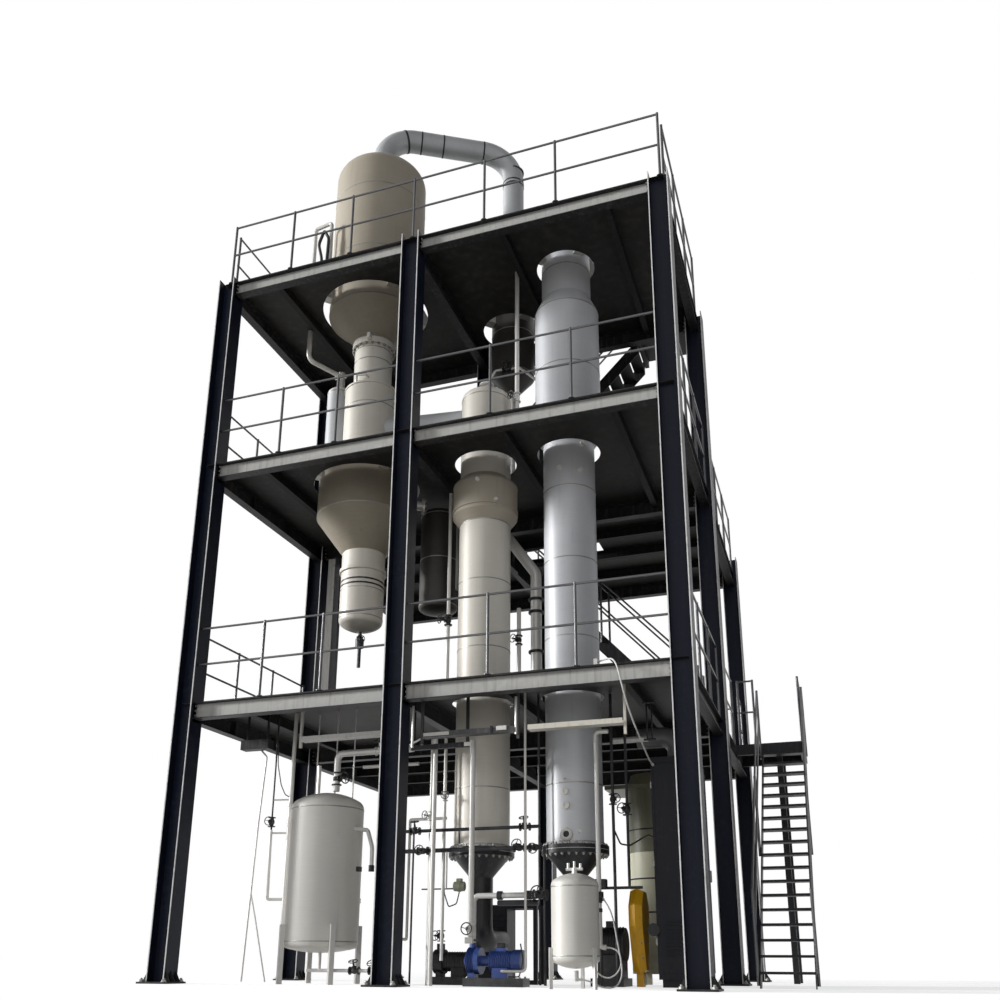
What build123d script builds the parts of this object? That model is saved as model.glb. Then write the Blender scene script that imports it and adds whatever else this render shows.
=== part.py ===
# Mechanical vapor recompression evaporator: a three-deck steel frame with the
# separator and crystalliser stack, two tube heaters, vapour ducts, tanks, pumps,
# the compressor and its stairs. Millimetres, +Z up, front of the plant towards -Y.
# Plan positions are measured from the outer corner of the front left column.
from build123d import *
import os
from math import atan2, cos, degrees, hypot, pi, radians, sin, sqrt, tan

# Frame: column grid, deck heights and steel sections
gridX = (150, 3650, 7700)
gridY = (150, 3700, 7600)
deckZ = (4080, 8140, 11680)
columnSize = 300
columnWeb = 10
columnFlange = 15
columnStub = 60
rearColumnTop = deckZ[1] + 330
beamDepth = 250
beamWidth = 150
beamWeb = 8
beamFlange = 12
joistDepth = 160
joistWidth = 100
floorSheet = 8
floorGap = 4
floorEdge = 75
basePlate = 480
basePlateThick = 25
anchorHole = 26
anchorPitch = 380
gussetReach = 85
gussetHeight = 150
gussetThick = 12

# Guard rails
railHeight = 1200
railMiddle = 600
railRadius = 17
postRadius = 21
postCap = 5

# Outside stair on the right, from the ground to the first deck
stairLeft = 8240
stairRight = 8930
stairTopY = 5650
stairRisers = 19
stairGoing = 203
stringerDepth = 220
stringerThick = 12
treadThick = 35
nosingLap = 25
landingDepth = 1150
stairRailOffset = 25

# Inner stairs: the middle one climbs to the left, the upper one to the right
middleStairY = (4810, 5420)
middleStairTopX = 3725
middleStairRisers = 19
middleStairGoing = 198
upperStairY = (3960, 4650)
upperStairTopX = 6600
upperStairRisers = 17
upperStairGoing = 208
stairwellX = (3725, 5480)
stairwellY = (4740, 5500)
upperLandingX = (6600, 7540)

# Vessels: axis in plan and wall
shellWall = 10
knuckleShare = 0.55
separatorAxis = (2220, 1660)
separatorRadius = 835
separatorBottomZ = 11500
separatorTopZ = 14450
separatorHeadHeight = 450
separatorRingZ = (12060, 12100)
ringProud = 16
funnelBottomZ = 11070
neckRadius = 335
neckFlangeRadius = 385
neckFlangeZ = (10840, 10950)
crownRadius = 465
crownTopZ = 9990
crownBottomZ = 8860
bodyRadius = 820
bodyTopZ = 8630
bodyBottomZ = 7500
saltLegRadius = 360
saltLegTopZ = 6870
saltLegBottomZ = 5700
saltLegRingZ = (6520, 6580)
saltLegRingRadius = 390
drainRadius = 30

heaterRadius = 410
heaterFlangeRadius = 480
heaterFlangeZ = (1790, 1890)
heater1Axis = (4440, 1550)
heater1CapZ = 9310
heaterHeadHeight = 205
channelRadius = 520
channelZ = (7220, 7700)
channelShoulderZ = 7820
channelTaperZ = 7010
heater2Axis = (5830, 1630)
heater2TopZ = 12050
jacketRadius = 530
jacketZ = (8420, 10720)
jacketShoulderZ = 10990
jacketBottomZ = 8260
coneBottomZ = 1480
outletRadius = 165
outletReach = 820

demisterAxis = (4440, 2950)
demisterRadius = 395
demisterZ = (10650, 12700)
demisterConeZ = 10250

ductRadius = 203
ductZ = 15740
ductBend = 610
ductWall = 6
crossoverRadius = 228
crossoverZ = 8950

bufferAxis = (1160, 2400)
bufferRadius = 240
bufferZ = (8330, 10650)
washAxis = (2100, 1150)
washRadius = 540
washZ = (560, 2520)
receiverAxis = (6170, 280)
receiverRadius = 300
receiverZ = (370, 1250)
receiverEndRise = 150
silencerAxis = (6650, 3450)
silencerRadius = 420
silencerZ = (160, 2930)
hoodX = (5950, 7100)
hoodHalf = 430
hoodThick = 60
hoodCapZ = 3180
cabinetX = (4070, 4540)
cabinetY = (2420, 2820)
cabinetTop = 1150
standEndX = 5010
standPost = 60
guardX = (6530, 6720)
guardY = 2050
potAxis = (3200, 2600)
potRadius = 330
potZ = (6150, 7860)

feedPumpAt = (4535, 1000)
feedPumpShaftZ = 330
enclosureX = (6930, 7530)
enclosureY = (1750, 2900)
enclosureZ = (100, 3140)

# Free hoses: corner points of each route, from the first fitting to the last
riserX = 6300
riserRadius = 32
hoseTailEnd = (6368, 1050, 505)
fitGap = 0.3
arcShare = 0.45
deckHoseDiameter = 22
deckHose = [(6600, 120, 4130), (6700, 100, 4150), (6800, 35, 4125), (6865, -25, 4005), (6900, -45, 3860),
            (6930, -25, 3700), (6955, 75, 3530), (6975, 250, 3385), (6990, 470, 3265), (6998, 720, 3165),
            (6996, 990, 3090), (6988, 1250, 3045), (6975, 1480, 3025), (6965, 1690, 3025)]
drainHoseDiameter = 20
drainHose = [(6362, 1050, 1118), (6425, 1035, 1030), (6480, 1010, 900), (6515, 985, 750), (6545, 965, 590),
             (6575, 950, 430), (6605, 930, 280), (6612, 880, 140), (6580, 790, 42), (6540, 665, 14),
             (6510, 540, 12), (6470, 420, 20), (6405, 330, 58), (6320, 287, 103), (6240, 280, 112)]
airHoseDiameter = 20
airHose = [(6408, 1050, 505), (6496, 1048, 494), (6567, 1034, 415), (6582, 1014, 300), (6535, 994, 190),
           (6438, 980, 122), (6330, 972, 140), (6245, 962, 220), (6182, 935, 318), (6132, 868, 400),
           (6106, 768, 440), (6100, 665, 445)]

planMinX = gridX[0] - basePlate / 2
planMaxX = stairRight + stringerThick + stairRailOffset + postRadius
planMinY = gridY[0] - basePlate / 2
planMaxY = gridY[2] + basePlate / 2
originX = (planMinX + planMaxX) / 2
originY = (planMinY + planMaxY) / 2


def block(x0, x1, y0, y1, z0, z1):
    """A straight block between two corners."""
    size = Box(x1 - x0, y1 - y0, z1 - z0)
    return Pos((x0 + x1) / 2, (y0 + y1) / 2, (z0 + z1) / 2) * size


def turned(axis, outline):
    """A solid turned about a vertical axis from (radius, height) points."""
    section = make_face(Polyline(*[(r, 0, z) for r, z in outline], close=True))
    return Pos(axis[0], axis[1], 0) * revolve(section, Axis.Z, 360)


def shell(axis, outline, wall=shellWall):
    """An open shell of even wall from its outer (radius, height) points."""
    inner = [(r - wall, z) for r, z in reversed(outline)]
    return turned(axis, list(outline) + inner)


def headShape(radius, rise):
    """Knuckle radius, crown radius and the angle where the two arcs of a head meet."""
    knuckle = knuckleShare * rise
    crown = ((radius - knuckle) ** 2 + rise ** 2 - knuckle ** 2) / (2 * (rise - knuckle))
    meet = degrees(atan2(crown - rise, radius - knuckle))
    return knuckle, crown, meet


def headSurface(radius, rise, at):
    """Height of a head's crown at a distance from its axis."""
    knuckle, crown, meet = headShape(radius, rise)
    return rise - crown + sqrt(crown ** 2 - at ** 2)


def headArcs(radius, rise, inset):
    """The two arcs of a head's outline, drawn in from its outer face by an inset."""
    knuckle, crown, meet = headShape(radius, rise)
    side = CenterArc((radius - knuckle, 0), knuckle - inset, 0, meet)
    top = CenterArc((0, rise - crown), crown - inset, meet, 90 - meet)
    return [side, top]


def dished(axis, z, radius, height, wall=shellWall, skirt=0):
    """A dished head with a straight skirt; a negative height hangs it below z."""
    rise = abs(height)
    outline = headArcs(radius, rise, 0) + headArcs(radius, rise, wall)
    outline.append(Line((0, rise - wall), (0, rise)))
    if skirt:
        rim = Polyline((radius, 0), (radius, -skirt), (radius - wall, -skirt), (radius - wall, 0))
        outline += rim.edges()
    else:
        outline.append(Line((radius - wall, 0), (radius, 0)))
    head = revolve(Plane.XZ * make_face(outline), Axis.Z, 360)
    turn = Rot(180, 0, 0) if height < 0 else Rot(0, 0, 0)
    return Pos(axis[0], axis[1], z) * turn * head


def rod(start, end, radius):
    """A round bar from one point to another."""
    path = Line(start, end)
    return sweep(Plane(path @ 0, z_dir=path % 0) * Circle(radius), path)


def pipe(points, radius, bend, wall=5):
    """A hollow pipe along straight runs with rounded bends."""
    path = FilletPolyline(*points, radius=bend) if len(points) > 2 else Line(*points)
    start = Plane(path @ 0, z_dir=path % 0)
    return sweep(start * (Circle(radius) - Circle(radius - wall)), path)


def beamSection(depth, width, web, flange):
    """An I section, web upright, top edge on the origin."""
    side = (width - web) / 2
    pocket = Rectangle(side, depth - 2 * flange)
    offset = (web + side) / 2
    return Pos(0, -depth / 2) * (Rectangle(width, depth) - Pos(offset, 0) * pocket - Pos(-offset, 0) * pocket)


def beamAlongX(x0, x1, y, top, depth=beamDepth, width=beamWidth):
    across = Plane((x0, y, top), x_dir=(0, 1, 0), z_dir=(1, 0, 0))
    return extrude(across * beamSection(depth, width, beamWeb, beamFlange), x1 - x0)


def beamAlongY(y0, y1, x, top, depth=beamDepth, width=beamWidth):
    across = Plane((x, y0, top), x_dir=(-1, 0, 0), z_dir=(0, 1, 0))
    return extrude(across * beamSection(depth, width, beamWeb, beamFlange), y1 - y0)


def columnSection():
    """An H section with its flanges on the left and right."""
    side = (columnSize - columnWeb) / 2
    pocket = Rectangle(columnSize - 2 * columnFlange, side)
    offset = (columnWeb + side) / 2
    return Rectangle(columnSize, columnSize) - Pos(0, offset) * pocket - Pos(0, -offset) * pocket


def columnTop(row):
    return rearColumnTop if row == 2 else deckZ[2] + columnStub


def makeColumns():
    solids = []
    for row, y in enumerate(gridY):
        for x in gridX:
            section = Pos(x, y, basePlateThick) * columnSection()
            solids.append(extrude(section, columnTop(row) - basePlateThick))
    return solids


def makeColumnBases():
    """Base plates with four anchor holes and three gussets on each flange."""
    solids = []
    for y in gridY:
        for x in gridX:
            half = basePlate / 2
            base = block(x - half, x + half, y - half, y + half, 0, basePlateThick)
            for dx in (-anchorPitch / 2, anchorPitch / 2):
                for dy in (-anchorPitch / 2, anchorPitch / 2):
                    hole = Cylinder(anchorHole / 2, basePlateThick * 2)
                    base -= Pos(x + dx, y + dy, basePlateThick / 2) * hole
            for side in (-1, 1):
                face = x + side * columnSize / 2
                for dy in (-110, 0, 110):
                    corner = (face, y + dy, basePlateThick)
                    foot = (face + side * gussetReach, y + dy, basePlateThick)
                    head = (face, y + dy, basePlateThick + gussetHeight)
                    web = make_face(Polyline(corner, foot, head, close=True))
                    base += extrude(web, gussetThick / 2, dir=(0, 1, 0), both=True)
            solids.append(base)
    return solids


def deckRows(deck):
    """Grid rows that a deck reaches: the top deck covers the front bay only."""
    return gridY[:2] if deck == 2 else gridY


def makeBeams(deck):
    """Main beams between the columns, along X on each row and along Y on each line."""
    top = deckZ[deck] - floorSheet
    rows = deckRows(deck)
    half = columnSize / 2
    solids = []
    for y in rows:
        for x0, x1 in zip(gridX, gridX[1:]):
            solids.append(beamAlongX(x0 + half, x1 - half, y, top))
    for x in gridX:
        for y0, y1 in zip(rows, rows[1:]):
            solids.append(beamAlongY(y0 + columnWeb / 2, y1 - columnWeb / 2, x, top))
    return solids


def makeJoists():
    """Secondary beams: along Y in the front bay, along X in the rear bay."""
    frontX = (1050, 5130, 6850)
    rearY = (4660, 5580, 6600)
    solids = []
    for deck, level in enumerate(deckZ):
        top = level - floorSheet
        for x in frontX:
            solids.append(beamAlongY(gridY[0] + beamWidth / 2, gridY[1] - beamWidth / 2, x, top,
                                     joistDepth, joistWidth))
        if deck == 2:
            continue
        for y in rearY:
            for x0, x1 in zip(gridX, gridX[1:]):
                ends = (x0 + beamWidth / 2, x1 - beamWidth / 2)
                solids.append(beamAlongX(*ends, y, top, joistDepth, joistWidth))
    return solids


def floorHoles(deck):
    """Round holes that the vessels pass through: axis and radius."""
    if deck == 0:
        return [(heater1Axis, heaterRadius + 60), (heater2Axis, heaterRadius + 60)]
    if deck == 1:
        return [(separatorAxis, 905), (heater1Axis, 505), (heater2Axis, 505)]
    return [(separatorAxis, 950), (heater2Axis, 490), (demisterAxis, 550)]


def makeFloor(deck):
    """Floor sheets in panels, cut round the columns and the vessels."""
    z1 = deckZ[deck]
    z0 = z1 - floorSheet
    edgeX = (gridX[0] - floorEdge, 1050, gridX[1], 5130, 6850, gridX[2] + floorEdge)
    split = gridY[1]
    front = gridY[0] - floorEdge
    gap = floorGap / 2
    frontBack = split + floorEdge if deck == 2 else split - gap
    panels = [(x0 + gap, x1 - gap, front, frontBack) for x0, x1 in zip(edgeX, edgeX[1:])]
    if deck < 2:
        rear = gridY[2] + floorEdge
        wellY = (stairwellY[0], stairwellY[1])
        columnsX = (gridX[0] - floorEdge, gridX[1], gridX[2] + floorEdge)
        for x0, x1 in zip(columnsX, columnsX[1:]):
            panels.append((x0 + gap, x1 - gap, split + gap, wellY[0] - gap))
            panels.append((x0 + gap, x1 - gap, wellY[1] + gap, 6600 - gap))
            panels.append((x0 + gap, x1 - gap, 6600 + gap, rear))
        middleEdges = [(columnsX[0], columnsX[1]), (columnsX[1], columnsX[2])]
        if deck == 1:
            middleEdges = [(columnsX[0], stairwellX[0] - gap), (stairwellX[1] + gap, columnsX[2])]
        panels += [(x0 + gap, x1 - gap, wellY[0] + gap, wellY[1] - gap) for x0, x1 in middleEdges]
    cutters = []
    for y in deckRows(deck):
        for x in gridX:
            cutters.append(extrude(Pos(x, y, z0 - 1) * columnSection(), floorSheet + 2))
    for axis, radius in floorHoles(deck):
        cutters.append(Pos(axis[0], axis[1], z0) * Cylinder(radius, 60))
    solids = []
    for x0, x1, y0, y1 in panels:
        sheet = block(x0, x1, y0, y1, z0, z1)
        for cutter in cutters:
            sheet -= cutter
        solids += sheet.solids()
    return solids


def railPanel(start, end, level, posts, height=railHeight):
    """A flat guard rail: two rails and its posts, fused where they cross."""
    top = level + height - railRadius
    middle = level + railMiddle
    panel = rod((*start, top), (*end, top), railRadius)
    panel += rod((*start, middle), (*end, middle), railRadius)
    length = hypot(end[0] - start[0], end[1] - start[1])
    for along in posts:
        x = start[0] + (end[0] - start[0]) * along / length
        y = start[1] + (end[1] - start[1]) * along / length
        panel += rod((x, y, level), (x, y, top + railRadius + postCap), postRadius)
    return panel


def evenPosts(length, first=0, last=None, spacing=1250):
    """Post distances spread evenly along a run."""
    last = length if last is None else last
    bays = max(1, round((last - first) / spacing))
    return [first + (last - first) * i / bays for i in range(bays + 1)]


def makeFrontRails(deck):
    y = gridY[0] - 50
    level = deckZ[deck]
    if deck == 2:
        x0 = gridX[0] + 40
        x1 = gridX[2] + 30
        posts = [x - x0 for x in (x0, 1370, 2510, 3660, 4900, 6090, x1)]
        return [railPanel((x0, y), (x1, y), level, posts)]
    half = columnSize / 2
    panels = []
    for (x0, x1), posts in zip(zip(gridX, gridX[1:]), ((1420, 2430), (5030, 6290))):
        panels.append(railPanel((x0 + half, y), (x1 - half, y), level, [x - x0 - half for x in posts]))
    return panels


def makeSideRails(deck, x, openings=()):
    """Rails along Y, ended at the columns, less any gap for a stair."""
    half = columnSize / 2
    level = deckZ[deck]
    rows = deckRows(deck)
    panels = []
    for y0, y1 in zip(rows, rows[1:]):
        start = y0 + half + 25
        runs = [(start, y1 - half - 25)]
        for low, high in openings:
            if y0 < low < y1:
                runs = [(start, low), (high, y1 - half - 25)]
        for low, high in runs:
            length = high - low
            if length > 300:
                inset = postRadius
                panels.append(railPanel((x, low), (x, high), level, evenPosts(length, inset, length - inset)))
    return panels


def makeRails(deck):
    level = deckZ[deck]
    leftX = gridX[0] - 50
    rightX = gridX[2] + 50
    panels = makeFrontRails(deck)
    panels += makeSideRails(deck, leftX)
    gate = [(stairTopY, stairTopY + landingDepth)] if deck == 0 else []
    panels += makeSideRails(deck, rightX, gate)
    half = columnSize / 2
    if deck < 2:
        y = gridY[2] + 50
        for x0, x1 in zip(gridX, gridX[1:]):
            length = x1 - x0 - 2 * half
            posts = evenPosts(length, postRadius, length - postRadius)
            panels.append(railPanel((x0 + half, y), (x1 - half, y), level, posts))
    else:
        y = gridY[1] + 50
        for x0, x1 in ((gridX[0] + half, gridX[1] - half), (gridX[1] + half, upperLandingX[0] - 10)):
            length = x1 - x0
            posts = evenPosts(length, postRadius, length - postRadius)
            panels.append(railPanel((x0, y), (x1, y), level, posts))
    if deck == 1:
        panels += makeStairwellRails(level)
    return panels


def makeStairwellRails(level):
    """Guards round the hole where the middle stair arrives."""
    x0 = stairwellX[0] + 120
    x1 = stairwellX[1] + 40
    y0 = stairwellY[0] - 40
    y1 = stairwellY[1] + 40
    panels = []
    for y in (y0, y1):
        length = x1 - x0
        panels.append(railPanel((x0, y), (x1, y), level, evenPosts(length, postRadius, length - postRadius)))
    inner = 60
    length = y1 - y0 - 2 * inner
    panels.append(railPanel((x1, y0 + inner), (x1, y1 - inner), level, [length / 2]))
    return panels


class Stair:
    """One straight flight in a vertical plane, described by its top edge."""

    def __init__(self, top, forward, across, width, rise, risers, going):
        self.top = top
        self.forward = forward
        self.across = across
        self.width = width
        self.rise = rise
        self.risers = risers
        self.going = going

    def at(self, along, side, z):
        """A point: distance back from the top edge, distance across, height."""
        x = self.top[0] - self.forward[0] * along + self.across[0] * side
        y = self.top[1] - self.forward[1] * along + self.across[1] * side
        return (x, y, z)

    def nosing(self, step):
        """Distance back and height of a step, counted down from the top."""
        return step * self.going, self.top[2] - step * self.rise / self.risers

    def stringers(self):
        run = (self.risers - 1) * self.going
        bottom = self.top[2] - self.rise
        slope = self.rise / self.risers / self.going
        drop = stringerDepth * hypot(1, slope)
        solids = []
        for side in (-stringerThick, self.width):
            outline = [
                self.at(0, side, self.top[2]),
                self.at(run + self.going * 0.6, side, bottom + self.rise / self.risers * 0.4),
                self.at(run + self.going * 0.6, side, bottom),
                self.at(run + self.going * 0.6 - drop / slope + self.going * 0.4, side, bottom),
                self.at(0, side, self.top[2] - drop),
            ]
            face = make_face(Polyline(*outline, close=True))
            direction = (self.across[0], self.across[1], 0)
            solids.append(extrude(face, stringerThick, dir=direction))
        return solids

    def treads(self):
        solids = []
        for step in range(1, self.risers):
            along, z = self.nosing(step)
            low = self.at(max(0, along - self.going - nosingLap), 0, z - treadThick)
            high = self.at(along, self.width, z)
            xs = sorted((low[0], high[0]))
            ys = sorted((low[1], high[1]))
            solids.append(block(xs[0], xs[1], ys[0], ys[1], z - treadThick, z))
        return solids

    def rails(self, sides=(-1, 1), offset=stairRailOffset):
        """A sloping hand rail with a middle rail and three posts on each side."""
        solids = []
        slope = self.rise / self.risers / self.going
        run = (self.risers - 1) * self.going
        for side in sides:
            across = -offset - stringerThick if side < 0 else self.width + stringerThick + offset
            low = run
            high = 120
            lowZ = self.top[2] - slope * low
            highZ = self.top[2] - slope * high
            panel = None
            for height in (railMiddle - 60, railHeight - 150):
                start = self.at(low, across, lowZ + height)
                bar = rod(start, self.at(high, across, highZ + height), railRadius)
                panel = bar if panel is None else panel + bar
            floor = self.top[2] - self.rise
            for along in (low, (low + high) / 2, high):
                z = self.top[2] - slope * along
                foot = self.at(along, across, max(floor, z - 180))
                head = self.at(along, across, z + railHeight - 150 + railRadius + postCap)
                panel += rod(foot, head, postRadius)
            solids.append(panel)
        return solids


outsideStair = Stair((stairLeft, stairTopY, deckZ[0]), (0, 1), (1, 0), stairRight - stairLeft,
                     deckZ[0], stairRisers, stairGoing)
middleStair = Stair((middleStairTopX, middleStairY[0], deckZ[1]), (-1, 0), (0, 1),
                    middleStairY[1] - middleStairY[0], deckZ[1] - deckZ[0], middleStairRisers, middleStairGoing)
upperStair = Stair((upperStairTopX, upperStairY[0], deckZ[2]), (1, 0), (0, 1),
                   upperStairY[1] - upperStairY[0], deckZ[2] - deckZ[1], upperStairRisers, upperStairGoing)


def makeOutsideLanding():
    """Plate and frame between the stair head and the first deck, on two posts."""
    level = deckZ[0]
    x0 = gridX[2] + floorEdge
    x1 = stairRight + stringerThick
    y0 = stairTopY
    y1 = stairTopY + landingDepth
    plate = block(x0, x1, y0, y1, level - floorSheet, level)
    frame = block(x0, x1, y0, y0 + 80, level - floorSheet - 180, level - floorSheet)
    frame += block(x0, x1, y1 - 80, y1, level - floorSheet - 180, level - floorSheet)
    frame += block(x1 - 80, x1, y0, y1, level - floorSheet - 180, level - floorSheet)
    deck = plate + frame
    middle = (stairLeft + x1) / 2 - 90
    frame += block(middle - 40, middle + 40, y0, y1, level - floorSheet - 180, level - floorSheet)
    posts = [block(middle - 50, middle + 50, y - 50, y + 50, 0, level - floorSheet - 180)
             for y in (y0 + 140, y1 - 100)]
    return deck, posts


def makeOutsideLandingRails():
    level = deckZ[0]
    y0 = stairTopY + 60
    y1 = stairTopY + landingDepth - 30
    x1 = stairRight + stringerThick - 30
    x0 = gridX[2] + floorEdge + 60
    sideLength = y1 - 60 - y0
    frontLength = stairLeft - stairRailOffset - 70 - x0
    sidePosts = evenPosts(sideLength, postRadius, sideLength - postRadius)
    frontPosts = evenPosts(frontLength, postRadius, frontLength - postRadius)
    side = railPanel((x1, y0), (x1, y1 - 60), level, sidePosts)
    front = railPanel((x0, y0), (x0 + frontLength, y0), level, frontPosts)
    return [side, front]


def makeUpperLanding():
    """Landing behind the top deck, on brackets from its rear beam."""
    level = deckZ[2]
    x0, x1 = upperLandingX
    y0 = gridY[1] + floorEdge
    y1 = upperStairY[1] + 60
    plate = block(x0, x1, y0, y1, level - floorSheet, level)
    for x in (x0 + 40, x1 - 40):
        plate += block(x - 40, x + 40, y0, y1, level - floorSheet - 140, level - floorSheet)
    return plate


def makeUpperLandingRails():
    level = deckZ[2]
    x0, x1 = upperLandingX
    y0 = gridY[1] + floorEdge + 60
    y1 = upperStairY[1] + 20
    side = railPanel((x1 - 40, y0), (x1 - 40, y1 - 70), level, [40, y1 - y0 - 110])
    back = railPanel((x0 + 30, y1), (x1 - 100, y1), level, [40, x1 - x0 - 170])
    return [side, back]


def makeSeparatorShell():
    """Separator shell with the stiffening ring that its brackets stand under."""
    r = separatorRadius
    ring0, ring1 = separatorRingZ
    outline = [(r, separatorBottomZ), (r, ring0), (r + ringProud, ring0), (r + ringProud, ring1), (r, ring1),
               (r, separatorTopZ), (r - shellWall, separatorTopZ), (r - shellWall, separatorBottomZ)]
    return turned(separatorAxis, outline)


def makeSeparatorHead():
    head = dished(separatorAxis, separatorTopZ, separatorRadius, separatorHeadHeight)
    opening = Pos(*separatorAxis, separatorTopZ + separatorHeadHeight) * Cylinder(ductRadius, 300)
    return head - opening


def makeFunnel():
    """Separator bottom funnel with its neck and bolted flange."""
    flange0, flange1 = neckFlangeZ
    outline = [(neckRadius, crownTopZ), (neckRadius, flange0), (neckFlangeRadius, flange0),
               (neckFlangeRadius, flange1), (neckRadius, flange1), (neckRadius, funnelBottomZ - 20),
               (neckRadius + 20, funnelBottomZ), (separatorRadius, separatorBottomZ)]
    inner = [(separatorRadius - shellWall, separatorBottomZ), (neckRadius + 20 - shellWall, funnelBottomZ),
             (neckRadius - shellWall, funnelBottomZ - 20), (neckRadius - shellWall, crownTopZ)]
    return turned(separatorAxis, outline + inner)


def makeCrown():
    """Upper cylinder of the crystalliser with its cover and its shoulder."""
    cover = crownTopZ - 12
    bore = neckRadius - shellWall
    lip = crownRadius + 14
    outline = [(bodyRadius, bodyTopZ), (crownRadius, crownBottomZ), (crownRadius, cover - 20),
               (lip, cover - 20), (lip, crownTopZ), (bore, crownTopZ), (bore, cover),
               (crownRadius - shellWall, cover), (crownRadius - shellWall, crownBottomZ),
               (bodyRadius - shellWall, bodyTopZ)]
    return turned(separatorAxis, outline)


def makeSaltLeg():
    ring0, ring1 = saltLegRingZ
    outline = [(saltLegRadius, saltLegBottomZ), (saltLegRadius, ring0), (saltLegRingRadius, ring0),
               (saltLegRingRadius, ring1), (saltLegRadius, ring1), (saltLegRadius, saltLegTopZ)]
    inner = [(saltLegRadius - shellWall, saltLegTopZ), (saltLegRadius - shellWall, saltLegBottomZ)]
    return turned(separatorAxis, outline + inner)


def makeSaltLegBottom():
    """Dished bottom with the drain branch and the body of its valve."""
    head = dished(separatorAxis, saltLegBottomZ, saltLegRadius, -180)
    x, y = separatorAxis
    drain = Pos(x, y, saltLegBottomZ - 480) * Cylinder(drainRadius, 620)
    valve = Pos(x, y, saltLegBottomZ - 380) * Cylinder(70, 150)
    return head + drain + valve


def makeHeaterCap():
    """Top cover of the first heater, above the second deck."""
    skirt = heater1CapZ - channelShoulderZ
    return dished(heater1Axis, heater1CapZ, heaterRadius, heaterHeadHeight, skirt=skirt)


def makeChannel():
    """Widened tube channel of the first heater, with its shoulder and lower ring."""
    z0, z1 = channelZ
    outline = [(heaterRadius, channelTaperZ), (channelRadius, z0 - 60), (channelRadius, z0),
               (channelRadius + 12, z0), (channelRadius + 12, z0 + 50), (channelRadius, z0 + 50),
               (channelRadius, z1), (heaterRadius, channelShoulderZ)]
    inner = [(heaterRadius - shellWall, channelShoulderZ), (channelRadius - shellWall, z1),
             (channelRadius - shellWall, z0 - 60), (heaterRadius - shellWall, channelTaperZ)]
    return turned(heater1Axis, outline + inner)


def makeHeaterBottom(axis):
    """Bolted flange pair, cone and outlet elbow under a heater."""
    z0, z1 = heaterFlangeZ
    outline = [(outletRadius, coneBottomZ), (heaterRadius, z0 - 20), (heaterFlangeRadius, z0 - 20),
               (heaterFlangeRadius, z1), (heaterRadius, z1), (heaterRadius - shellWall, z1),
               (heaterRadius - shellWall, z0 - 20), (outletRadius - shellWall, coneBottomZ)]
    cone = turned(axis, outline)
    x, y = axis
    elbow = pipe([(x, y, coneBottomZ), (x, y, 620), (x, y + outletReach, 620)], outletRadius, 240, 8)
    return cone + elbow


def makeJacket():
    """Wide jacket of the second heater, between the second and third decks."""
    z0, z1 = jacketZ
    outline = [(heaterRadius, jacketBottomZ), (jacketRadius, z0), (jacketRadius, z1),
               (heaterRadius, jacketShoulderZ)]
    return shell(heater2Axis, outline)


def makeHeaterHead():
    """Upper neck and head of the second heater, through the third deck."""
    skirt = heater2TopZ - jacketShoulderZ
    return dished(heater2Axis, heater2TopZ, heaterRadius, heaterHeadHeight, skirt=skirt)


def makeDemisterEnds():
    x, y = demisterAxis
    top = dished(demisterAxis, demisterZ[1], demisterRadius, 200)
    top -= Pos(x, y, demisterZ[1] + 200) * Cylinder(ductRadius, 200)
    cone = shell(demisterAxis, [(60, demisterConeZ), (demisterRadius, demisterZ[0])])
    return [top, cone]


def ductCorners():
    """Corner points of the vapour duct centre line."""
    dx = demisterAxis[0] - separatorAxis[0]
    dy = demisterAxis[1] - separatorAxis[1]
    length = hypot(dx, dy)
    bend = (dx / length * ductBend, dy / length * ductBend)
    first = (*separatorAxis, ductZ)
    last = (*demisterAxis, ductZ)
    afterFirst = (first[0] + bend[0], first[1] + bend[1], ductZ)
    beforeLast = (last[0] - bend[0], last[1] - bend[1], ductZ)
    return first, afterFirst, beforeLast, last


def makeDuctElbows():
    first, afterFirst, beforeLast, last = ductCorners()
    x, y = separatorAxis
    foot = separatorTopZ + headSurface(separatorRadius, separatorHeadHeight, ductRadius)
    rise = pipe([(x, y, foot), first, afterFirst], ductRadius, ductBend - 1, ductWall)
    x, y = demisterAxis
    foot = demisterZ[1] + headSurface(demisterRadius, 200, ductRadius)
    drop = pipe([beforeLast, last, (x, y, foot)], ductRadius, ductBend - 1, ductWall)
    return [rise, drop]


def makeDuctRun():
    first, afterFirst, beforeLast, last = ductCorners()
    return pipe([afterFirst, beforeLast], ductRadius, 0, ductWall)


def makeCrossover():
    """Duct from the first heater's cover to the crystalliser."""
    duct = pipe([(*separatorAxis, crossoverZ + 250), (*heater1Axis, crossoverZ)], crossoverRadius, 0, 6)
    gap = 0.3
    crown = [(0, bodyTopZ - 200), (bodyRadius + gap, bodyTopZ - 200), (bodyRadius + gap, bodyTopZ),
             (crownRadius + gap, crownBottomZ), (crownRadius + gap, crownTopZ), (0, crownTopZ)]
    duct -= turned(separatorAxis, crown)
    return duct - Pos(*heater1Axis, crossoverZ) * Cylinder(heaterRadius + gap, 1600)


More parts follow.
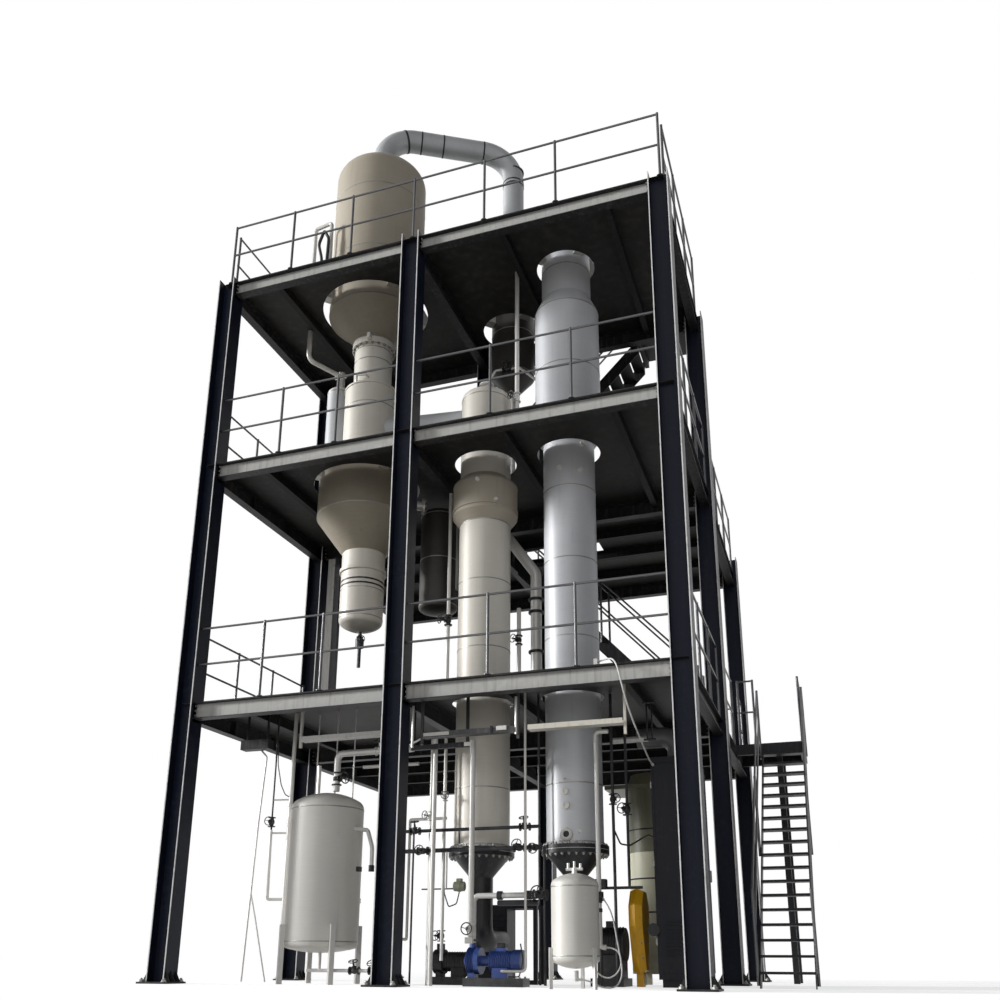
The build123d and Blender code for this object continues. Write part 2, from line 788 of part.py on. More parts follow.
def makeLugs():
    """Bracket plates that carry the vessels on the deck floors, four to a vessel."""
    seats = [(separatorAxis, separatorRadius, 300, deckZ[2]), (separatorAxis, bodyRadius, 250, deckZ[1]),
             (heater1Axis, heaterRadius, 220, deckZ[0]), (heater2Axis, heaterRadius, 220, deckZ[0]),
             (heater2Axis, heaterRadius, 240, deckZ[2]), (demisterAxis, demisterRadius, 280, deckZ[2])]
    solids = []
    for axis, radius, reach, level in seats:
        for quarter in range(4):
            angle = 45 + 90 * quarter
            inner = radius + 0.5
            foot = block(inner, inner + reach, -90, 90, 0, 16)
            for y in (-70, 58):
                web = make_face(Polyline((inner, y, 16), (inner + reach - 20, y, 16), (inner + 60, y, 360),
                                         (inner, y, 360), close=True))
                foot += extrude(web, 12, dir=(0, 1, 0))
            bracket = Pos(axis[0], axis[1], level) * Rot(0, 0, angle) * foot
            clear = Pos(axis[0], axis[1], level + 200) * Cylinder(radius + 0.3, 500)
            solids.append(bracket - clear)
    return solids


def makeTankEnds():
    """Dished ends of the wash tank, the air receiver and the buffer tank."""
    ends = []
    for axis, radius, (z0, z1), rise in ((washAxis, washRadius, washZ, 240),
                                         (receiverAxis, receiverRadius, receiverZ, receiverEndRise),
                                         (bufferAxis, bufferRadius, bufferZ, 100)):
        ends.append(dished(axis, z1, radius, rise, 6))
        ends.append(dished(axis, z0, radius, -min(rise, 130), 6))
    return ends


def makeTankLegs():
    """Straight legs under the wash tank, the receiver and the buffer tank."""
    legs = []
    for axis, radius, floor, top, half, count, first in (
            (washAxis, washRadius, 0, washZ[0] + 260, 35, 4, 45),
            (receiverAxis, receiverRadius, 0, receiverZ[0] + 120, 20, 3, 90),
            (bufferAxis, bufferRadius, deckZ[1], bufferZ[0] + 120, 20, 3, 90)):
        for i in range(count):
            angle = radians(first + 360 / count * i)
            reach = radius + half + 0.5
            x = axis[0] + cos(angle) * reach
            y = axis[1] + sin(angle) * reach
            bar = Rot(0, 0, degrees(angle)) * Box(2 * half, 2 * half, top - floor)
            legs.append(Pos(x, y, (floor + top) / 2) * bar)
    return legs


def makeFeedPump():
    """Horizontal pump on a steel base: casing, back plate, bracket, motor and fan cowl."""
    x, y = feedPumpAt
    z = feedPumpShaftZ
    solid = block(x - 90, x + 760, y - 150, y + 150, 0, 110)
    solid += block(x - 50, x + 50, y - 80, y + 80, 100, z - 90)
    solid += block(x + 310, x + 530, y - 110, y + 110, 100, z - 90)
    drums = ((-55, 110, 150), (55, 70, 175), (125, 190, 70), (265, 320, 128), (585, 130, 145))
    for start, length, radius in drums:
        solid += Pos(x + start + length / 2, y, z) * Rot(0, 90, 0) * Cylinder(radius, length)
    solid += Pos(x - 80, y, z) * Rot(0, 90, 0) * Cylinder(50, 70)
    solid += Pos(x, y, z + 175) * Cylinder(42, 120)
    solid += block(x + 360, x + 480, y - 60, y + 60, z + 100, z + 185)
    return solid


def makeCirculationPump():
    """Dark pump on the heater's return line."""
    x, y, z = 3930, 1750, 320
    base = block(x - 300, x + 300, y - 160, y + 160, 0, 110)
    casing = Pos(x - 180, y, z) * Rot(0, 90, 0) * Cylinder(170, 150)
    motor = Pos(x + 110, y, z) * Rot(0, 90, 0) * Cylinder(130, 430)
    neck = Pos(x - 180, y, z + 190) * Cylinder(60, 120)
    casingFoot = block(x - 220, x - 140, y - 90, y + 90, 100, z - 100)
    motorFoot = block(x + 20, x + 220, y - 100, y + 100, 100, z - 80)
    return base + casingFoot + motorFoot + casing + motor + neck


def makeEnclosure():
    """Sound enclosure of the vapour compressor with its roof and plinth."""
    x0, x1 = enclosureX
    y0, y1 = enclosureY
    z0, z1 = enclosureZ
    body = block(x0, x1, y0, y1, z0, z1)
    plinth = block(x0 + 40, x1 - 40, y0 + 40, y1 - 40, 0, z0)
    return body + plinth


def makeBeltGuard():
    """Faceted guard over the belt drive, wide at the upper pulley, with chamfered rims."""
    outline = [(-130, 1320), (130, 1320), (300, 1090), (300, 800),
               (90, 170), (-90, 170), (-300, 800), (-300, 1090)]
    chamfer = 25
    x0, x1 = guardX
    middle = (x0 + x1) / 2
    face = make_face(Polyline(*[(middle, guardY + y, z) for y, z in outline], close=True))
    half = extrude(face, (x1 - x0) / 2, dir=(1, 0, 0), taper=chamfer)
    other = extrude(face, (x1 - x0) / 2, dir=(-1, 0, 0), taper=chamfer)
    foot = block(middle - 50, middle + 50, guardY - 60, guardY + 60, 0, 200)
    return half + other + foot


def makeSilencer():
    """Tall round silencer behind the guard under a flat hood with a low cap."""
    z0, z1 = silencerZ
    hoodTop = z1 + hoodThick
    outline = [(0, z0), (silencerRadius, z0), (silencerRadius, hoodTop), (0, hoodTop)]
    capOutline = [(0, hoodTop - 10), (silencerRadius, hoodTop - 10), (silencerRadius - 60, hoodCapZ), (0, hoodCapZ)]
    x, y = silencerAxis
    body = turned(silencerAxis, outline) + turned(silencerAxis, capOutline)
    body += block(hoodX[0], hoodX[1], y - hoodHalf, y + hoodHalf, z1, hoodTop)
    for dx in (-220, 220):
        for dy in (-220, 220):
            body += block(x + dx - 40, x + dx + 40, y + dy - 40, y + dy + 40, 0, z0)
    return body


def makeCabinet():
    """Control cabinet behind the feed pump, on a frame that reaches past its right side."""
    x0, x1 = cabinetX
    y0, y1 = cabinetY
    body = block(x0, x1, y0, y1, standPost, cabinetTop)
    for z in (0, cabinetTop - standPost):
        for y in (y0, y1 - standPost):
            body += block(x0 if z == 0 else x1, standEndX, y, y + standPost, z, z + standPost)
    for y in (y0, y1 - standPost):
        body += block(standEndX - standPost, standEndX, y, y + standPost, 0, cabinetTop)
    return body


def makeBlowerMotor():
    """Motor on its skid, left of the belt guard."""
    y = guardY
    body = Pos(6230, y, 560) * Rot(0, 90, 0) * Cylinder(230, 400)
    foot = block(6060, 6400, y - 200, y + 200, 110, 420)
    skid = block(5980, 6440, y - 300, y + 300, 0, 110)
    return body + foot + skid


def makeCondensatePot():
    """Round pot hung under the second deck on two straps."""
    top = dished(potAxis, potZ[1], potRadius, 100, 6)
    bottom = dished(potAxis, potZ[0], potRadius, -100, 6)
    body = shell(potAxis, [(potRadius, potZ[0]), (potRadius, potZ[1])], 6)
    return [body, top, bottom]


def makePotStraps():
    x, y = potAxis
    top = deckZ[1] - floorSheet
    straps = []
    for side in (-1, 1):
        x0 = x + side * (potRadius + 0.5)
        x1 = x + side * (potRadius + 12.5)
        straps.append(block(min(x0, x1), max(x0, x1), y - 40, y + 40, potZ[0] + 300, top))
    return straps


def makeCompressorDuct():
    """Suction duct that rises from the enclosure and turns under the first deck."""
    x = (enclosureX[0] + enclosureX[1]) / 2
    y = 2350
    top = enclosureZ[1]
    return pipe([(x, y, top), (x, y, 3560), (6640, y, 3560)], 150, 240, 6)


def makeCableTrays():
    """Cable trays hung under the front of the first deck, with their hangers."""
    trays = []
    for x0, x1, y, z in ((5520, 6830, 450, 3340), (3960, 5340, 450, 3340), (1790, 3400, 800, 3510)):
        tray = block(x0, x1, y - 75, y + 75, z, z + 70) - block(x0 - 1, x1 + 1, y - 70, y + 70, z + 5, z + 71)
        trays.append(tray)
    underFloor = deckZ[0] - floorSheet
    hangers = ((6850, 450, 3200, underFloor - joistDepth), (5360, 450, 3250, underFloor),
               (3930, 450, 3250, underFloor), (3420, 800, 3420, underFloor), (1760, 800, 3420, underFloor))
    for x, y, z, top in hangers:
        trays.append(block(x - 18, x + 18, y - 20, y + 20, z, top))
    trays.append(block(390, 540, 3660, 3740, deckZ[0], deckZ[1] - floorSheet - beamDepth - 2))
    return trays


def makeSidePost():
    """Small post beside the left middle column, between the first two decks."""
    return block(560, 660, 3650, 3750, deckZ[0], deckZ[1] - floorSheet - beamDepth - 2)


def makePipes():
    """Process pipes, each as its corner points, outer radius and bend."""
    underFloor = deckZ[0] - floorSheet
    pumpX, pumpY = feedPumpAt
    branchTop = feedPumpShaftZ + 235
    runs = [
        ([(4590, 750, 620), (4590, 750, 3330)], 38, 0),
        ([(3950, 900, 0), (3950, 900, 3500)], 32, 0),
        ([(3800, 1150, 0), (3800, 1150, 3500)], 28, 0),
        ([(4020, 1120, 330), (4020, 1120, 3480)], 24, 0),
        ([hoseTailEnd, (riserX, 1050, 505), (riserX, 1050, 3400), (6480, 1050, 3400)], riserRadius, 55),
        ([(pumpX, pumpY, branchTop), (pumpX, pumpY, 1190), (5540, pumpY, 1190)], 38, 80),
        ([(3470, 1300, 2330), (3980, 1300, 2330)], 22, 0),
        ([(840, 1700, 11660), (840, 1700, 11050), (1160, 2400, 11050), (1160, 2400, 10760)], 44, 130),
        ([(5030, 1400, 11660), (5030, 1400, 8145)], 36, 0),
        ([(2220, 1150, 2790), (2220, 1150, 3370), (3490, 1150, 3370)], 50, 90),
        ([(2560, 1350, 3180), (3490, 1350, 3180)], 26, 0),
        ([(1440, 1150, 0), (1440, 1150, underFloor)], 30, 0),
        ([(4300, 2420, 7540), (5025, 2420, 6490), (5025, 2420, 4085)], 90, 160),
        ([(4735, 2400, 5900), (4735, 2400, 4085)], 35, 0),
        ([(3730, 1800, 7860), (3730, 1800, 4085)], 30, 0),
        ([(4440, 2950, 10240), (4440, 2950, 8145)], 45, 0),
        ([(5350, 800, underFloor), (5350, 800, 200), (5000, 800, 200), (5000, pumpY - 111, 200)], 18, 60),
        ([(6330, 1900, 3450), (6880, 1900, 3450)], 45, 0),
    ]
    return [pipe(points, radius, bend) for points, radius, bend in runs]


def makeServicePipes():
    """Two dark service lines that cross in front of the first heater."""
    x0, x1, y = 3470, 5500, 1000
    return [pipe([(x0, y, z), (x1, y, z)], radius, 0) for z, radius in ((2115, 24), (1830, 30))]


def hosePath(points):
    """Straight runs joined by arcs as large as their runs allow, with the radii used."""
    corners = [Vector(*p) for p in points]
    radii = []
    for before, corner, after in zip(corners, corners[1:], corners[2:]):
        into = corner - before
        out = after - corner
        turn = radians(into.get_angle(out))
        radii.append(arcShare * min(into.length, out.length) / tan(turn / 2))
    return FilletPolyline(*points, radius=radii), radii


def makeHose(name, points, diameter):
    """A free hose along its route; its radii and volume are printed."""
    path, radii = hosePath(points)
    tube = sweep(Plane(path @ 0, z_dir=path % 0) * Circle(diameter / 2), path)
    expected = pi * diameter ** 2 / 4 * path.length
    print(name, "length", round(path.length), "smallest radius", round(min(radii)),
          "volume share", round(tube.volume / expected, 4))
    return tube


def makeHoseFittings(hoseTubes):
    """Hose tails: at the first deck's edge, on the enclosure, the riser and the receiver."""
    x, y, z = deckHose[0]
    deckTail = block(x - 70, x - 20, y - 40, y + 40, deckZ[0], z + 30) + rod((x - 20, y, z), deckHose[0], 15)
    x, y, z = deckHose[-1]
    roofTail = rod(deckHose[-1], (x, enclosureY[0], z), 20)
    x, y, z = drainHose[0]
    riserTail = rod((x - 50, y, z + 50), drainHose[0], 15)
    riserTail -= Pos(riserX, y, z) * Cylinder(riserRadius + fitGap, 500)
    x, y, z = hoseTailEnd
    footTail = rod(hoseTailEnd, (x + 8, y, z), 36) + rod((x + 8, y, z), airHose[0], 14)
    x, y = receiverAxis
    low = drainHose[-1][2] - 20
    high = receiverZ[0] - receiverEndRise - fitGap
    drainTail = rod((x, y, low), (x, y, high), 32) + rod((x, y, drainHose[-1][2]), drainHose[-1], 15)
    backX, backY, backZ = airHose[-1]
    back = rod((backX, y + 200, backZ), airHose[-1], 16)
    back -= Pos(x, y, backZ) * Cylinder(receiverRadius + fitGap, 500)
    tails = []
    for tail in (deckTail, roofTail, riserTail, footTail, drainTail, back):
        for tube in hoseTubes:
            tail -= tube
        tails.append(tail)
    return tails


def joined(solids):
    """One node from solids that stay apart, moved to the plant's own origin."""
    parts = solids if isinstance(solids, list) else [solids]
    flat = []
    for part in parts:
        flat += part.solids()
    return Pos(-originX, -originY, 0) * Compound(children=[Solid(s.wrapped) for s in flat])


landingDeck, landingPosts = makeOutsideLanding()
stairs = (outsideStair, middleStair, upperStair)
deckTube = makeHose("deck hose", deckHose, deckHoseDiameter)
drainTube = makeHose("drain hose", drainHose, drainHoseDiameter)
airTube = makeHose("air hose", airHose, airHoseDiameter)

nodes = {
    "columns": makeColumns(),
    "column_bases": makeColumnBases(),
    "deck_1_beams": makeBeams(0),
    "deck_2_beams": makeBeams(1),
    "deck_3_beams": makeBeams(2),
    "floor_joists": makeJoists(),
    "deck_1_floor": makeFloor(0),
    "deck_2_floor": makeFloor(1),
    "deck_3_floor": makeFloor(2),
    "deck_1_rails": makeRails(0),
    "deck_2_rails": makeRails(1),
    "deck_3_rails": makeRails(2),
    "stair_stringers": [part for stair in stairs for part in stair.stringers()],
    "stair_treads": [part for stair in stairs for part in stair.treads()],
    "stair_rails": ([part for stair in stairs for part in stair.rails()] + makeOutsideLandingRails()
                    + makeUpperLandingRails()),
    "stair_landings": [landingDeck, makeUpperLanding()],
    "landing_posts": landingPosts + [makeSidePost()],
    "separator_head": makeSeparatorHead(),
    "separator_shell": makeSeparatorShell(),
    "separator_funnel": makeFunnel(),
    "crystalliser_crown": makeCrown(),
    "crystalliser_body": shell(separatorAxis, [(bodyRadius, bodyBottomZ), (bodyRadius, bodyTopZ)]),
    "crystalliser_cone": shell(separatorAxis, [(saltLegRadius, saltLegTopZ), (bodyRadius, bodyBottomZ)]),
    "salt_leg": makeSaltLeg(),
    "salt_leg_bottom": makeSaltLegBottom(),
    "heater_1_cap": makeHeaterCap(),
    "heater_1_channel": makeChannel(),
    "heater_1_shell": shell(heater1Axis, [(heaterRadius, heaterFlangeZ[1]), (heaterRadius, channelTaperZ)]),
    "heater_2_head": makeHeaterHead(),
    "heater_2_jacket": makeJacket(),
    "heater_2_shell": shell(heater2Axis, [(heaterRadius, heaterFlangeZ[1]), (heaterRadius, jacketBottomZ)]),
    "heater_bottoms": [makeHeaterBottom(heater1Axis), makeHeaterBottom(heater2Axis)],
    "demister_shell": shell(demisterAxis, [(demisterRadius, demisterZ[0]), (demisterRadius, demisterZ[1])]),
    "demister_ends": makeDemisterEnds(),
    "vapour_duct_elbows": makeDuctElbows(),
    "vapour_duct_run": makeDuctRun(),
    "crossover_duct": makeCrossover(),
    "vessel_brackets": makeLugs() + makePotStraps(),
    "wash_tank": shell(washAxis, [(washRadius, washZ[0]), (washRadius, washZ[1])], 6),
    "air_receiver": shell(receiverAxis, [(receiverRadius, receiverZ[0]), (receiverRadius, receiverZ[1])], 6),
    "buffer_tank": shell(bufferAxis, [(bufferRadius, bufferZ[0]), (bufferRadius, bufferZ[1])], 6),
    "tank_ends": makeTankEnds(),
    "tank_legs": makeTankLegs(),
    "feed_pump": makeFeedPump(),
    "circulation_pump": makeCirculationPump(),
    "compressor_enclosure": makeEnclosure(),
    "belt_guard": makeBeltGuard(),
    "silencer": makeSilencer(),
    "blower_motor": makeBlowerMotor(),
    "compressor_duct": makeCompressorDuct(),
    "condensate_pot": makeCondensatePot(),
    "control_cabinet": makeCabinet(),
    "cable_trays": makeCableTrays(),
    "process_pipes": makePipes(),
    "service_pipes": makeServicePipes(),
    "hose_fittings": makeHoseFittings((deckTube, drainTube, airTube)),
    "deck_hose": deckTube,
    "drain_hose": drainTube,
    "air_hose": airTube,
}

os.makedirs("parts", exist_ok=True)
for name, solids in nodes.items():
    export_step(joined(solids), f"parts/{name}.step")
print(len(nodes), "sub-parts written")
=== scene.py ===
from math import cos, pi, radians, sin

import bpy
from mathutils import Matrix, Vector


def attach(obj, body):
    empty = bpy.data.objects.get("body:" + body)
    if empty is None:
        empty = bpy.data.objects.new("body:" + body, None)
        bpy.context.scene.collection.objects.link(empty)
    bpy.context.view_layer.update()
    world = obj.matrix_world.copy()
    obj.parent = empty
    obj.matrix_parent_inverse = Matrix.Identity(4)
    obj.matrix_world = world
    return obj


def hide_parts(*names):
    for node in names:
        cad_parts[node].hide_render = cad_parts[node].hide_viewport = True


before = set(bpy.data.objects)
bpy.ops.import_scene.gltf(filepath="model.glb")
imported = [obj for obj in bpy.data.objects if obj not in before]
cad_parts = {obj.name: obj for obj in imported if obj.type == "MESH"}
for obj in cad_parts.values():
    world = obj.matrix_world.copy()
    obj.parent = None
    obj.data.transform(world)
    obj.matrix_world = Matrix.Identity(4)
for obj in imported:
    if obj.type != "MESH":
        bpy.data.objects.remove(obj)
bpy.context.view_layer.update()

scene = bpy.context.scene

# Plan metres are measured from the outer corner of the front left column.
site = {"originX": 4.449, "originY": 3.875}
gridX = (0.15, 3.65, 7.70)
gridY = (0.15, 3.70, 7.60)
deckZ = (4.08, 8.14, 11.68)
columnHalf = 0.15
deckSheet = 0.008
# centre line of each upright vessel
vessels = {
    "separator": (2.22, 1.66), "heater1": (4.44, 1.55), "heater2": (5.83, 1.63), "demister": (4.44, 2.95),
    "buffer": (1.16, 2.40), "wash": (2.10, 1.15), "receiver": (6.17, 0.28), "silencer": (6.65, 3.45),
    "pot": (3.20, 2.60),
}
zAxis = Vector((0, 0, 1))


def plan(x, y, z):
    return Vector((x - site["originX"], y - site["originY"], z))


# Camera: low in front of the right-hand end, looking up and to the left
camera = {"x": 9.4128, "y": -11.8853, "z": 0.2925, "yaw": 0.3376, "pitch": 0.2939, "roll": -0.006,
          "lens": 34.97, "shiftX": 0.0007, "shiftY": 0.1699}


def makeCamera():
    data = bpy.data.cameras.new("photo_camera")
    data.sensor_width = 36
    data.lens = camera["lens"]
    data.shift_x = camera["shiftX"]
    data.shift_y = camera["shiftY"]
    data.clip_end = 500
    eye = bpy.data.objects.new("photo_camera", data)
    scene.collection.objects.link(eye)
    turn = Matrix.Rotation(camera["yaw"], 4, "Z") @ Matrix.Rotation(camera["pitch"], 4, "X")
    turn = turn @ Matrix.Rotation(camera["roll"], 4, "Y") @ Matrix.Rotation(pi / 2, 4, "X")
    eye.matrix_world = Matrix.Translation(plan(camera["x"], camera["y"], camera["z"])) @ turn
    scene.camera = eye


# Free hoses: the routes of the CAD tubes, in plan metres.
hoses = {
    "deck_hose": {
        "diameter": 0.022, "length": 2.607,
        "route": [
            (6.600, 0.120, 4.130), (6.700, 0.100, 4.150), (6.800, 0.035, 4.125), (6.865, -0.025, 4.005),
            (6.900, -0.045, 3.860), (6.930, -0.025, 3.700), (6.955, 0.075, 3.530), (6.975, 0.250, 3.385),
            (6.990, 0.470, 3.265), (6.998, 0.720, 3.165), (6.996, 0.990, 3.090), (6.988, 1.250, 3.045),
            (6.975, 1.480, 3.025), (6.965, 1.690, 3.025)]},
    "drain_hose": {
        "diameter": 0.020, "length": 1.857,
        "route": [
            (6.362, 1.050, 1.118), (6.425, 1.035, 1.030), (6.480, 1.010, 0.900), (6.515, 0.985, 0.750),
            (6.545, 0.965, 0.590), (6.575, 0.950, 0.430), (6.605, 0.930, 0.280), (6.612, 0.880, 0.140),
            (6.580, 0.790, 0.042), (6.540, 0.665, 0.014), (6.510, 0.540, 0.012), (6.470, 0.420, 0.020),
            (6.405, 0.330, 0.058), (6.320, 0.287, 0.103), (6.240, 0.280, 0.112)]},
    "air_hose": {
        "diameter": 0.020, "length": 1.207,
        "route": [
            (6.408, 1.050, 0.505), (6.496, 1.048, 0.494), (6.567, 1.034, 0.415), (6.582, 1.014, 0.300),
            (6.535, 0.994, 0.190), (6.438, 0.980, 0.122), (6.330, 0.972, 0.140), (6.245, 0.962, 0.220),
            (6.182, 0.935, 0.318), (6.132, 0.868, 0.400), (6.106, 0.768, 0.440), (6.100, 0.665, 0.445)]},
}


lineFineness = {"hose": (4, 10), "rod": (2, 3)}  # bevel resolution and steps between two points


def drawnLine(name, route, radius, fineness):
    line = bpy.data.curves.new(name, "CURVE")
    line.dimensions = "3D"
    line.bevel_depth = radius
    line.bevel_resolution, line.resolution_u = fineness
    line.use_fill_caps = True
    spline = line.splines.new("NURBS")
    spline.points.add(len(route) - 1)
    for point, place in zip(spline.points, route):
        point.co = (*place, 1)
    spline.order_u = 3
    spline.use_endpoint_u = True
    holder = bpy.data.objects.new(name, line)
    scene.collection.objects.link(holder)
    return holder


def makeHoses():
    for node, hose in hoses.items():
        route = [plan(*point) for point in hose["route"]]
        skin = drawnLine(node + "_line", route, hose["diameter"] / 2, lineFineness["hose"])
        skin.data.materials.append(finish["hoseWhite"])
        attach(skin, "root")
        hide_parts(node)


# Materials: a socket with the usual arithmetic, and one method for every other node.
class Wire:
    def __init__(self, tree, socket):
        self.tree = tree
        self.socket = socket

    def sum(self, operation, first, second):
        node = self.tree.nodes.new("ShaderNodeMath")
        node.operation = operation
        for slotNumber, value in enumerate((first, second)):
            if isinstance(value, Wire):
                self.tree.links.new(value.socket, node.inputs[slotNumber])
            else:
                node.inputs[slotNumber].default_value = value
        return Wire(self.tree, node.outputs[0])

    def __add__(self, other):
        return self.sum("ADD", self, other)

    def __radd__(self, other):
        return self.sum("ADD", other, self)

    def __sub__(self, other):
        return self.sum("SUBTRACT", self, other)

    def __rsub__(self, other):
        return self.sum("SUBTRACT", other, self)

    def __mul__(self, other):
        return self.sum("MULTIPLY", self, other)

    def __rmul__(self, other):
        return self.sum("MULTIPLY", other, self)

    def __gt__(self, other):
        return self.sum("GREATER_THAN", self, other)

    def __lt__(self, other):
        return self.sum("LESS_THAN", self, other)

    def highest(self, other):
        return self.sum("MAXIMUM", self, other)

    def beside(self, output):
        # another output of the same node
        return Wire(self.tree, self.socket.node.outputs[output])


# The node tree of a material or of the world
class Surface:
    def __init__(self, owner, place="Object"):
        owner.use_nodes = True
        self.owner = owner
        self.tree = owner.node_tree
        self.place = self.node("ShaderNodeTexCoord", out=place)

    def node(self, kind, settings=None, inputs=None, out=0):
        made = self.tree.nodes.new(kind)
        for key, value in (settings or {}).items():
            setattr(made, key, value)
        for key, value in (inputs or {}).items():
            if isinstance(value, Wire):
                self.tree.links.new(value.socket, made.inputs[key])
            elif made.inputs[key].type == "RGBA":
                made.inputs[key].default_value = (*value, 1)
            else:
                made.inputs[key].default_value = value
        return Wire(self.tree, made.outputs[out])

    def axes(self):
        parts = self.node("ShaderNodeSeparateXYZ", {}, {"Vector": self.place})
        return [parts.beside(number) for number in range(3)]

    def noise(self, scale, detail, stretch=(1, 1, 1)):
        where = self.node("ShaderNodeMapping", {}, {"Vector": self.place, "Scale": stretch})
        return self.node("ShaderNodeTexNoise", {}, {"Vector": where, "Scale": scale, "Detail": detail}, "Fac")

    def ramp(self, value, low, high):
        return self.node("ShaderNodeMapRange", {"clamp": True},
                         {"Value": value, "From Min": low, "From Max": high}, "Result")

    def blend(self, share, first, second):
        return self.node("ShaderNodeMix", {"data_type": "RGBA"}, {0: share, 6: first, 7: second}, 2)

    def bump(self, height, strength, distance=0.01):
        return self.node("ShaderNodeBump", {}, {"Height": height, "Strength": strength, "Distance": distance},
                         "Normal")

    def give(self, **values):
        names = {"colour": "Base Color", "roughness": "Roughness", "metallic": "Metallic", "normal": "Normal",
                 "coat": "Coat Weight", "coatRoughness": "Coat Roughness", "specular": "Specular IOR Level",
                 "emission": "Emission Color", "glow": "Emission Strength"}
        shader = self.tree.nodes["Principled BSDF"]
        for key, value in values.items():
            socket = shader.inputs[names[key]]
            if isinstance(value, Wire):
                self.tree.links.new(value.socket, socket)
            elif isinstance(value, tuple):
                socket.default_value = (*value, 1)
            else:
                socket.default_value = value
        return self.owner


def newSurface(name):
    return Surface(bpy.data.materials.new(name))


steelLooks = {
    # light and dark colour, roughness, metallic, and what differs from the usual
    # the separator's tan cladding, also given to the first heater's channel as painted shade
    "tanCladdingAndChannelShade": ((0.51, 0.46, 0.375), (0.43, 0.385, 0.31), 0.55, 0.05, {"specular": 0.3}),
    # painted shade: a darker brown copy of the tan cladding for the parts under the decks, with its cream
    # band over the funnel's neck painted light
    "paintedShadeCladding": ((0.36, 0.32, 0.25), (0.27, 0.24, 0.185), 0.52, 0.05,
                      {"specular": 0.3, "band": ((0.70, 0.675, 0.61), 9.9, 10.96)}),
    "creamSteel": ((0.76, 0.725, 0.65), (0.67, 0.635, 0.565), 0.46, 0.06,
                   {"drain": (0.040, 0.045, 0.050), "drainTop": 5.515, "drainSide": 3.0}),
    "coolSteel": ((0.68, 0.695, 0.72), (0.58, 0.595, 0.62), 0.44, 0.08, {}),
    # painted shade: near black for the vessels standing in the shade under the decks
    "paintedShadeBlackCladding": ((0.060, 0.056, 0.050), (0.034, 0.032, 0.029), 0.48, 0.30, {}),
    "vesselSteel": ((0.66, 0.64, 0.59), (0.48, 0.47, 0.44), 0.40, 0.60, {}),
    "ductSteel": ((0.58, 0.60, 0.615), (0.46, 0.475, 0.49), 0.50, 0.15, {"brush": (0.6, 0.6, 20)}),
    "tankSteel": ((0.76, 0.745, 0.69), (0.68, 0.665, 0.62), 0.44, 0.05, {}),
    "pipeSteel": ((0.80, 0.79, 0.76), (0.66, 0.65, 0.62), 0.36, 0.15, {"brush": (14, 14, 2)}),
    "railSteel": ((0.17, 0.17, 0.175), (0.10, 0.10, 0.105), 0.32, 0.55, {"brush": (8, 8, 8)}),
    "boltSteel": ((0.42, 0.41, 0.39), (0.24, 0.235, 0.22), 0.45, 0.70, {"brush": (9, 9, 9)}),
}
steelGrain = {"brush": (0.6, 0.6, 26), "streaks": 9, "patches": 1.3, "fine": 60, "runs": 5, "stain": 0.28,
              "stainDark": 0.80, "relief": 0.10, "depth": 0.004}


def banded(surface, colour, extra):
    # a band of another colour between two heights, on the looks that have one: the pump's dark base, painted
    # light on the funnel's neck and painted shade on the silencer's top
    if "band" not in extra:
        return colour
    other, low, high = extra["band"]
    height = surface.axes()[2]
    return surface.blend((height > low) * (height < high), colour, other)


def makeSteel(name, light, dark, roughness, metallic, extra):
    grain = steelGrain
    steel = newSurface(name)
    streaks = steel.noise(grain["streaks"], 4, extra.get("brush", grain["brush"]))
    patches = steel.noise(grain["patches"], 5)
    fine = steel.noise(grain["fine"], 3, (1, 1, 0.35))
    runs = steel.noise(grain["runs"], 6, (3.2, 3.2, 0.22))
    stains = steel.ramp(runs, 0.58, 0.76) * grain["stain"]
    colour = steel.blend(steel.ramp(patches * 0.6 + streaks * 0.4, 0.34, 0.64), dark, light)
    colour = steel.blend(stains, colour, tuple(value * grain["stainDark"] for value in dark))
    colour = banded(steel, colour, extra)
    if "drain" in extra:
        side, _, height = steel.axes()
        drain = (side < plan(extra["drainSide"], 0, 0).x) * (height < extra["drainTop"])
        colour = steel.blend(drain, colour, extra["drain"])
    rough = roughness - 0.08 + streaks * 0.10 + patches * 0.08 + stains * 0.15
    relief = steel.bump(streaks * 0.5 + fine * 0.25, grain["relief"], grain["depth"])
    return steel.give(colour=colour, roughness=rough, metallic=metallic, specular=extra.get("specular", 0.5),
                      normal=relief)


